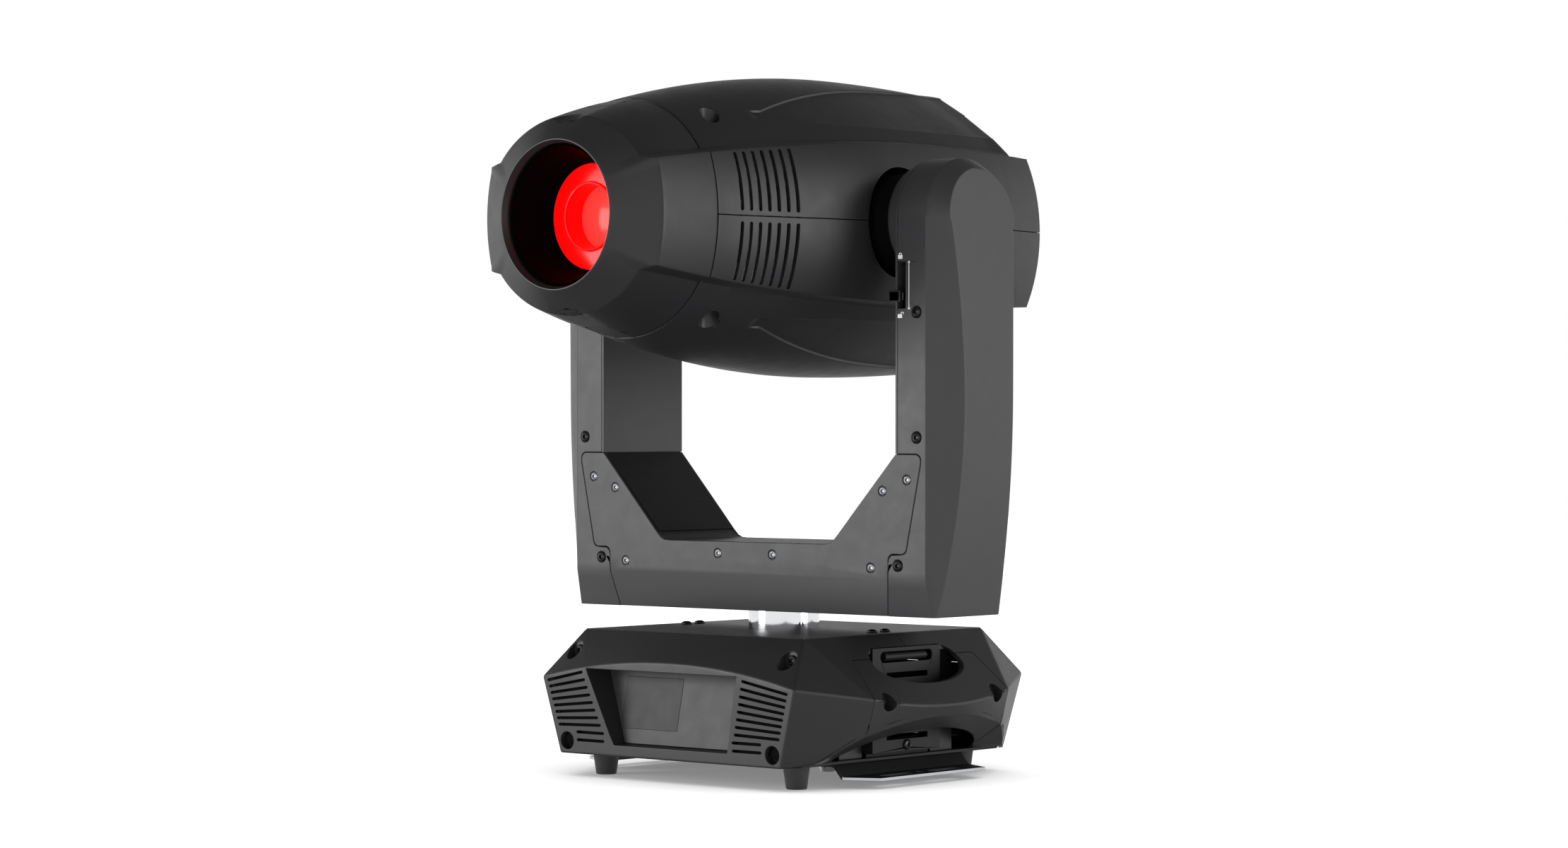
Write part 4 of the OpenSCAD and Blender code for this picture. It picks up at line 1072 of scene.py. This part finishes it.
def handle_zone(g):
    """The space of both grip covers, grown outwards by g."""
    edge = RIDGE_HALF + g
    outline = mirrored([(edge, 0), (edge, RIDGE_Z), (78.7 + g, 104.2 + g)])
    sides = [prism("zone", outline, *sorted((s * (130.3 - g), s * 220)), "X") for s in SIDES]
    return together("zones", sides)


def hand_opening():
    """The upper hand opening: a flat top and a deep round bottom."""
    right = arc(45, 99, 12, 80, 0, 5)
    top = [(x, 115.5) for x in (-43, 43)]
    low = [(57 * math.cos(a), 99 + 15.7 * math.sin(a)) for a in map(math.radians, range(-6, -175, -6))]
    return top + right + low + [(-x, z) for x, z in reversed(right)]


def arch_tool(s, grow):
    """The scoop under a grip: wide at the outer face and narrower where it meets the opening inside."""
    inner, middle, outer, beyond = [], [], [], []
    for a in np.radians(range(0, 181, 5)):
        c, u = math.cos(a), math.sin(a)
        near = ((92 + grow) * c, FOOT_H + (26.2 + grow) * u)
        far = ((138 + grow) * c, FOOT_H + (37 + grow) * u)
        depth = lerp(122, 159, u ** 0.8)
        reach = lerp(127.7, 174.7, u ** 0.45)
        inner.append((s * (depth if grow else 118), *near))
        middle.append((s * depth, *near))
        y, z = lerp(near[0], far[0], 1.2), lerp(near[1], far[1], 1.2)
        outer.append((s * lerp(depth, reach, 1.2), y, z))
        beyond.append((s * 230, *outer[-1][1:]))
    rings = [middle, outer, beyond] if grow else [inner, middle, outer, beyond]
    low = [[(r[-1][0], r[-1][1], 4.0), (r[0][0], r[0][1], 4.0)] for r in rings]
    return loft("arch", [r + ends for r, ends in zip(rings, low)])


def grip_cutters():
    """The hand opening above each grip and the scoop below it."""
    tools = []
    for s in SIDES:
        tools.append(prism("hand", hand_opening(), *sorted((s * (WALL_X - 1.4), s * 220)), "X"))
        tools.append(arch_tool(s, 0))
    return tools


FRONT_POCKETS = [((-118, -126, 105.5), (0, -1, 0)), ((118, -126, 105.5), (0, -1, 0)),
                 ((-114, -138, 30.2), (0, -1, 0)), ((114, -138, 30.2), (0, -1, 0))]
GRIP_POCKETS = [((163, -71, 71.5), (1, 0, 0)), ((163, 71, 71.5), (1, 0, 0))]
POCKET_R = 7.4


def pocket_tool(pocket, radius, depth):
    """A cylinder from a depth below a pocket's floor to well outside the base."""
    (x, y, z), (nx, ny, nz) = pocket
    if ny:
        low, high = sorted((y + ny * 40, y - ny * depth))
        return prism("pocket", arc(x, z, radius, 0, 350, 35), low, high, "Y")
    low, high = sorted((x + nx * 40, x - nx * depth))
    return prism("pocket", arc(y, z, radius, 0, 350, 35), low, high, "X")


def base_wall(name, t, pockets, extra=()):
    """A wall of the base with closed screw pockets and whatever else it holds inside."""
    wall = rounded_base(name)
    cut(wall, hull("inside", base_points(t)))
    inside = [pocket_tool(p, POCKET_R + 1.6, 2.0) for p in pockets] + list(extra)
    inside += [arch_tool(s, 3) for s in SIDES]
    for tool in inside:
        boolean(tool, [hull("limit", base_points(0.4))], "INTERSECT")
        cut(tool, box("below", (-400, -400, -60), (400, 400, FOOT_H + 0.02)))
        boolean(wall, [tool], "UNION")
    return cut(wall, together("pockets", [pocket_tool(p, POCKET_R, 0) for p in pockets]))


def recess_solid(g):
    """The tapered recess behind the display, grown by g."""
    front = [(-89.5 - g, 91.9 + g), (78 + g, 91.9 + g), (65.8 + g, 28.8 - g), (-61 - g, 28.8 - g)]
    back = [(-88 - g, -121 + g, 91 + g), (77 + g, -121 + g, 91 + g), (64 + g, -134 + g, 30 - g),
            (-59 - g, -134 + g, 30 - g)]
    return hull("recess", [(x, -153, z) for x, z in front] + back)


def louvre_tools(outlines):
    """Tools that cut slots through the base's front skin."""
    return together("louvres", [prism("louvre", outline, -156, -138) for outline in outlines])


def front_louvre_tools():
    """Eight fanned louvres at each side of the display and two short ones below them."""
    lines = []
    for i in range(8):
        lines.append((-133.3 + 1.6 * i, 80.4 - 5.26 * i, -94.6 + 2.7 * i, 88.6 - 6.26 * i))
        lines.append((84.7 - 1.4 * i, 88.5 - 6.26 * i, 131.5 - 1.45 * i, 80.1 - 5.26 * i))
    lines += [(s * 72.2, z, s * 101.5, z) for z in (38.1, 31.5) for s in SIDES]
    return louvre_tools([slot_outline(*line, 2.6, 4) for line in lines])


def half_cover(name, extra=()):
    """The plastic cover on the -Y side of the pan axis."""
    cover = base_wall(name, 3.0, FRONT_POCKETS, extra)
    cut(cover, box("half", (-400, -SEAM / 2, -400), (400, 400, 400)))
    x, y = TOP_X + SEAM, TOP_Y + SEAM
    cut(cover, box("top", (-x, -y, TOP_Z - 3.2), (x, y, TOP_Z + 9)))
    cut(cover, handle_zone(SEAM))
    for tool in grip_cutters():
        cut(cover, tool)
    walls = [box("wall", (min(s * (WALL_X - 8), s * (WALL_X + 1.4)), -WALL_Y - 1, FOOT_H),
                 (max(s * (WALL_X - 8), s * (WALL_X + 1.4)), WALL_Y, 112.5)) for s in SIDES]
    return cut(cover, together("walls", walls))


front_cover = half_cover("base_front_skin", [recess_solid(2.4)])
cut(front_cover, recess_solid(0))
soften(front_cover, 0.6, 38)
cut(front_cover, front_louvre_tools())
even(front_cover, 40)
finish_piece(front_cover, "base", "base_plastic", base_plastic, "base_front_cover")

rear_cover = half_cover("base_rear_skin", [box("surround", (-92, -151, 26), (92, -125.6, 94))])
cut(rear_cover, box("bay", (-89.6, -170, 28.4), (89.6, -118, 91.6)))
slots = [slot_outline(s * 98, 42 + 5.6 * i, s * 124, 42 + 5.6 * i, 2.6, 4)
         for s in SIDES for i in range(8)]
cut(rear_cover, louvre_tools(slots))
turn_about_z(soften(rear_cover, 0.6, 38))
finish_piece(rear_cover, "base", "base_plastic", base_plastic, "base_rear_cover")

DISPLAY_TOP, DISPLAY_LOW = (-121.2, 91.0), (-134.1, 30.0)


def display_point(x, z, rise):
    """A point on the display's sloping plane, raised towards the front."""
    t = (DISPLAY_TOP[1] - z) / (DISPLAY_TOP[1] - DISPLAY_LOW[1])
    return (x, lerp(DISPLAY_TOP[0], DISPLAY_LOW[0], t) - rise, z)


def display_plate(name, outline, back, front):
    """A flat sheet on the display's plane, between two rises."""
    return loft(name, [[display_point(x, z, rise) for x, z in outline] for rise in (back, front)])


panel = display_plate("display_panel_sheet",
                      [(-87.6, 90.6), (76.6, 90.6), (63.6, 30.4), (-58.6, 30.4)], 0.2, 1.8)
soften(panel, 0.5, 40)
finish_piece(panel, "base", "panel_plastic", panel_plastic, "display_panel")
low, high = (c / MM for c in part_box("display_window"))
edges = [(low.x, low.z), (high.x, low.z), (high.x, high.z), (low.x, high.z)]
wider = [(x + (0.25 if x > -30 else -0.25), z + (0.25 if z > 60 else -0.25)) for x, z in edges]
groove = display_plate("display_window_gap", wider, 1.5, 1.83)
finish_piece(groove, "base", "window", shade_and_gap_black)
screen = soften(display_plate("display_window_pane", edges, 1.4, 2.0), 0.12, 40)
finish_piece(screen, "base", "window", window_black, "display_window")

# Painted shade: near-black sheets just behind the front and rear louvres, so that the slots look dark
# inside as shade would make them.
louvre_shades = []
for outline in ([(-119, 29), (-66, 29), (-93, 92), (-131, 86)],
                [(119, 29), (69, 29), (82, 92), (131, 86)]):
    sheet = [(x, y - (z - 29) * 0.053, z) for y in (-143.2, -142.2) for x, z in outline]
    louvre_shades.append(hull("louvre_shade", sheet))
    louvre_shades.append(hull("louvre_shade", [(-x, -y, z) for x, y, z in sheet]))
finish_piece(together("louvre_shade_sheets", louvre_shades), "base", "rubber", shade_and_gap_black)

rods, returns = [], []
for s in SIDES:
    rods.append(lathe("rod", [(0, -27), (3.4, -27), (3.4, 27), (0, 27)], (s * 130.6, 0, 104.3), "Y", 48))
    x0, x1 = sorted((s * 121, s * 123))
    for u in SIDES:
        y0, y1 = sorted((u * 44.8, u * 74))
        returns.append(box("return", (x0, y0, 22), (x1, y1, 111)))
rods = together("grip_slot_rods", rods)
shade(rods, 40)
finish_piece(rods, "base", "black_metal", black_metal)
finish_piece(soften(together("chassis_returns", returns), 0.4), "base", "base_plastic", base_plastic)


def make_grip_cover(name):
    """The cover of the +X handle: its share of the base wall with the hand opening's edges."""
    cover = base_wall(name, 4.0, GRIP_POCKETS)
    boolean(cover, [handle_zone(0)], "INTERSECT")
    cut(cover, box("far_side", (-300, -300, -50), (0, 300, 300)))
    for tool in grip_cutters():
        cut(cover, tool)
    return soften(cover, 0.6, 17, 2)


right_grip = make_grip_cover("right_grip_skin")
left_grip = mirror_copy(right_grip, "left_grip_skin")
finish_piece(right_grip, "base", "base_plastic", base_plastic, "base_right_handle_cover")
finish_piece(left_grip, "base", "base_plastic", base_plastic, "base_left_handle_cover")

TOP_SCREWS = [(s * 104, u * 8.5, TOP_Z) for s, u in both_faces]
pocket_places = [((p[0], p[1] - 0.1, p[2]), n) for p, n in FRONT_POCKETS]
pocket_places += [((-p[0], -p[1] + 0.1, p[2]), (0, 1, 0)) for p, n in FRONT_POCKETS]
pocket_places += [((s * (p[0] + 0.1), p[1], p[2]), (s, 0, 0)) for p, n in GRIP_POCKETS for s in SIDES]
pocket_places += [(p, (0, 0, 1)) for p in TOP_SCREWS]
pocket_places += [((s * WALL_X, 0, 31), (s, 0, 0)) for s in SIDES]
screw_set("base_socket_screws", 4.5, black_steel, pocket_places, "base", "black_steel", "base_screws")


# ---- Feet and clamp brackets --------------------------------------------------------------

FOOT_PROFILE = [(0, 1.2), (3.0, 1.2), (3.0, 0.0), (8.0, 0.0), (8.7, 0.7), (11.0, 17.4), (11.3, 18.4),
                (11.3, 19.4), (0, 19.4)]
feet = [lathe("foot", FOOT_PROFILE, (s * 106, u * 107.6, 0), "Z", 64) for s, u in both_faces]
feet = together("rubber_foot_set", feet)
shade(feet, 40)
finish_piece(feet, "base", "rubber", rubber, "rubber_feet")

BRACKET_T = 2.5
BRACKET_Z = 9.5


def make_bracket(name):
    """A folded sheet: the flange under the base, the sloping web and the slotted outer flange."""
    t = BRACKET_T
    profile = [(98, FOOT_H - 0.05), (98, FOOT_H - t), (123.2, FOOT_H - t), (124.6, FOOT_H - t - 0.5),
               (132.6, BRACKET_Z - t + 0.6), (134.2, BRACKET_Z - t), (163, BRACKET_Z - t),
               (163, BRACKET_Z), (135.4, BRACKET_Z), (134.2, BRACKET_Z + 0.4), (126.4, FOOT_H - 0.7),
               (125.0, FOOT_H - 0.05)]
    sheet = prism(name, profile, -83, 83)
    outline = [(90, -83), (134, -83), (164, -68), (164, 68), (134, 83), (90, 83)]
    boolean(sheet, [prism("outline", outline, 0, 30, "Z")], "INTERSECT")
    outlines = [slot_outline(150, 16, 150, 46, 11, 10), slot_outline(150, -46, 150, -16, 11, 10)]
    outlines.append(arc(150, 0, 5.2, 0, 350, 35))
    holes = [prism("hole", h, 2, 14, "Z") for h in outlines]
    holes += [prism("hole", arc(112, y, 4.4, 0, 350, 35), 10, 30, "Z") for y in (-74, 74)]
    cut(sheet, together("holes", holes))
    soften(sheet, 0.25, 38, 2)
    sheet.data.materials.append(black_metal)
    sheet.data.materials.append(steel)
    for face in sheet.data.polygons:
        c = face.center / MM
        upright = abs(face.normal.z) < 0.5
        rim = c.x > 135 and (c.x > 162.4 or abs(c.y) > 66) and BRACKET_Z - t - 0.1 < c.z < BRACKET_Z + 0.1
        face.material_index = 1 if upright and rim else 0
    return sheet


right_bracket = make_bracket("right_bracket_sheet")
left_bracket = mirror_copy(right_bracket, "left_bracket_sheet")
finish_piece(right_bracket, "base", "black_metal", black_metal, "right_clamp_bracket")
finish_piece(left_bracket, "base", "black_metal", black_metal, "left_clamp_bracket")


# ---- CAD nodes that keep their shape: finer edges and worked surfaces ---------------------

def dress(node, material, width):
    """Welds a CAD node's faces, rounds its edges and paints it. Its own mesh stays as packed."""
    piece = nodes[node]
    piece.data.materials.clear()
    piece.data.materials.append(material)
    piece.data.polygons.foreach_set("material_index", [0] * len(piece.data.polygons))
    weld = piece.modifiers.new("weld", "WELD")
    weld.merge_threshold = 0.00002
    edges = piece.modifiers.new("edges", "BEVEL")
    edges.width = width * MM
    edges.segments = 2
    edges.limit_method = "ANGLE"
    edges.angle_limit = math.radians(30)
    edges.use_clamp_overlap = True
    piece.data.polygons.foreach_set("use_smooth", [True] * len(piece.data.polygons))
    flat = piece.modifiers.new("normals", "WEIGHTED_NORMAL")
    flat.keep_sharp = True
    flat.weight = 100


KEPT = [
    (black_metal, 0.3, "base_bottom_plate"),
    (yoke_plastic, 0.6, "base_top_plate"),
    (black_metal, 0.4, "chassis_side_walls"),
    (steel, 0.3, "quarter_turn_1 quarter_turn_2 quarter_turn_3 quarter_turn_4 pan_motor_pulley "
                 "tilt_motor_pulley"),
    (panel_plastic, 0.3, "connector_panel"),
    (gloss_black, 0.2, "panel_sockets"),
    (aluminium, 0.5, "power_supply led_engine"),
    (circuit_board, 0.2, "control_board"),
    (chrome, 0.4, "pan_column"),
    (aluminium, 0.4, "pan_pulley tilt_pulley"),
    (yoke_plastic, 0.5, "yoke_frame"),
    (steel, 0.4, "pan_bearing tilt_bearings"),
    (black_steel, 0.5, "pan_motor tilt_motor wheel_motors"),
    (belt_rubber, 0.2, "pan_belt tilt_belt"),
    (black_steel, 0.3, "tilt_lock_slider"),
    (head_plastic, 0.4, "rear_grille"),
    (aluminium, 0.3, "head_chassis zoom_carriage focus_carriage"),
    (steel, 0.2, "guide_rods colour_wheel gobo_wheel"),
    (aluminium, 0.2, "heat_sink"),
    (black_steel, 0.4, "fan_frame"),
    (gloss_black, 0.3, "fan_rotor"),
]
for finish, width, names in KEPT:
    for node in names.split():
        dress(node, finish, width)


# ---- Floor, light and camera ---------------------------------------------------------------

def make_stage():
    """A wide pale floor that glows a little, so that its shadows stay light."""
    rim = [(9000 * math.cos(a), 9000 * math.sin(a), 0) for a in np.linspace(0, 2 * math.pi, 65)[:-1]]
    floor = new_piece("studio_floor", rim, [tuple(range(64))])
    white = surface("studio_white", "f4f4f4", 0.9, vary=0.0, rough_vary=0.02, specular=0.0)
    shader = white.node_tree.nodes["Principled BSDF"]
    shader.inputs["Emission Color"].default_value = (1, 1, 1, 1)
    shader.inputs["Emission Strength"].default_value = 0.2
    floor.data.materials.append(white)
    floor.visible_glossy = False
    return floor


def area_light(name, place, size, power):
    """A soft rectangular light that faces the object's middle."""
    data = bpy.data.lights.new(name, "AREA")
    data.shape = "RECTANGLE"
    data.size, data.size_y = size
    data.energy = power
    lamp = bpy.data.objects.new(name, data)
    lamp.location = place
    lamp.rotation_mode = "QUATERNION"
    lamp.rotation_quaternion = (Vector((0, 0, 0.33)) - Vector(place)).to_track_quat("-Z", "Y")
    scene.collection.objects.link(lamp)


VIEW_ANGLE = math.radians(40.72)
VIEW_DISTANCE = 3.2938
VIEW_HEIGHT = 0.2962

camera_data = bpy.data.cameras.new("camera")
camera_data.sensor_width = 36.0
camera_data.lens = 88.89
camera = bpy.data.objects.new("camera", camera_data)
across, towards = VIEW_DISTANCE * math.sin(VIEW_ANGLE), VIEW_DISTANCE * math.cos(VIEW_ANGLE)
camera.location = (across, -towards, VIEW_HEIGHT)
camera.rotation_euler = (math.pi / 2, 0, VIEW_ANGLE)
scene.collection.objects.link(camera)
scene.camera = camera

floor = make_stage()
area_light("right_soft_box", (2.5, 0.9, 0.7), (1.2, 1.4), 18)
area_light("front_soft_box", (-1.6, -2.2, 0.5), (1.2, 1.0), 29)
floor_lamp = bpy.data.objects.new("floor_lamp", bpy.data.lights.new("floor_lamp", "SUN"))
floor_lamp.data.energy = 3.0
floor_lamp.data.angle = math.radians(110)
scene.collection.objects.link(floor_lamp)
floor_only = bpy.data.collections.new("floor_only")
floor_only.objects.link(floor)
floor_lamp.light_linking.receiver_collection = floor_only

world = bpy.data.worlds.new("studio")
scene.world = world
world.use_nodes = True
sky = world.node_tree
direction = sky.nodes.new("ShaderNodeTexCoord")
parts = sky.nodes.new("ShaderNodeSeparateXYZ")
link(sky, direction.outputs["Generated"], parts.inputs[0])
height = sky.nodes.new("ShaderNodeMath")
height.operation = "ABSOLUTE"
link(sky, parts.outputs["Z"], height.inputs[0])
fade = sky.nodes.new("ShaderNodeMapRange")
fade.interpolation_type = "SMOOTHSTEP"
fade.inputs["From Min"].default_value = 0.12
fade.inputs["From Max"].default_value = 0.62
fade.inputs["To Min"].default_value = 1.0
fade.inputs["To Max"].default_value = 0.15
link(sky, height.outputs[0], fade.inputs["Value"])
link(sky, fade.outputs["Result"], sky.nodes["Background"].inputs["Strength"])
sky.nodes["Background"].inputs["Color"].default_value = (1, 1, 1, 1)
scene.view_settings.view_transform = "Standard"
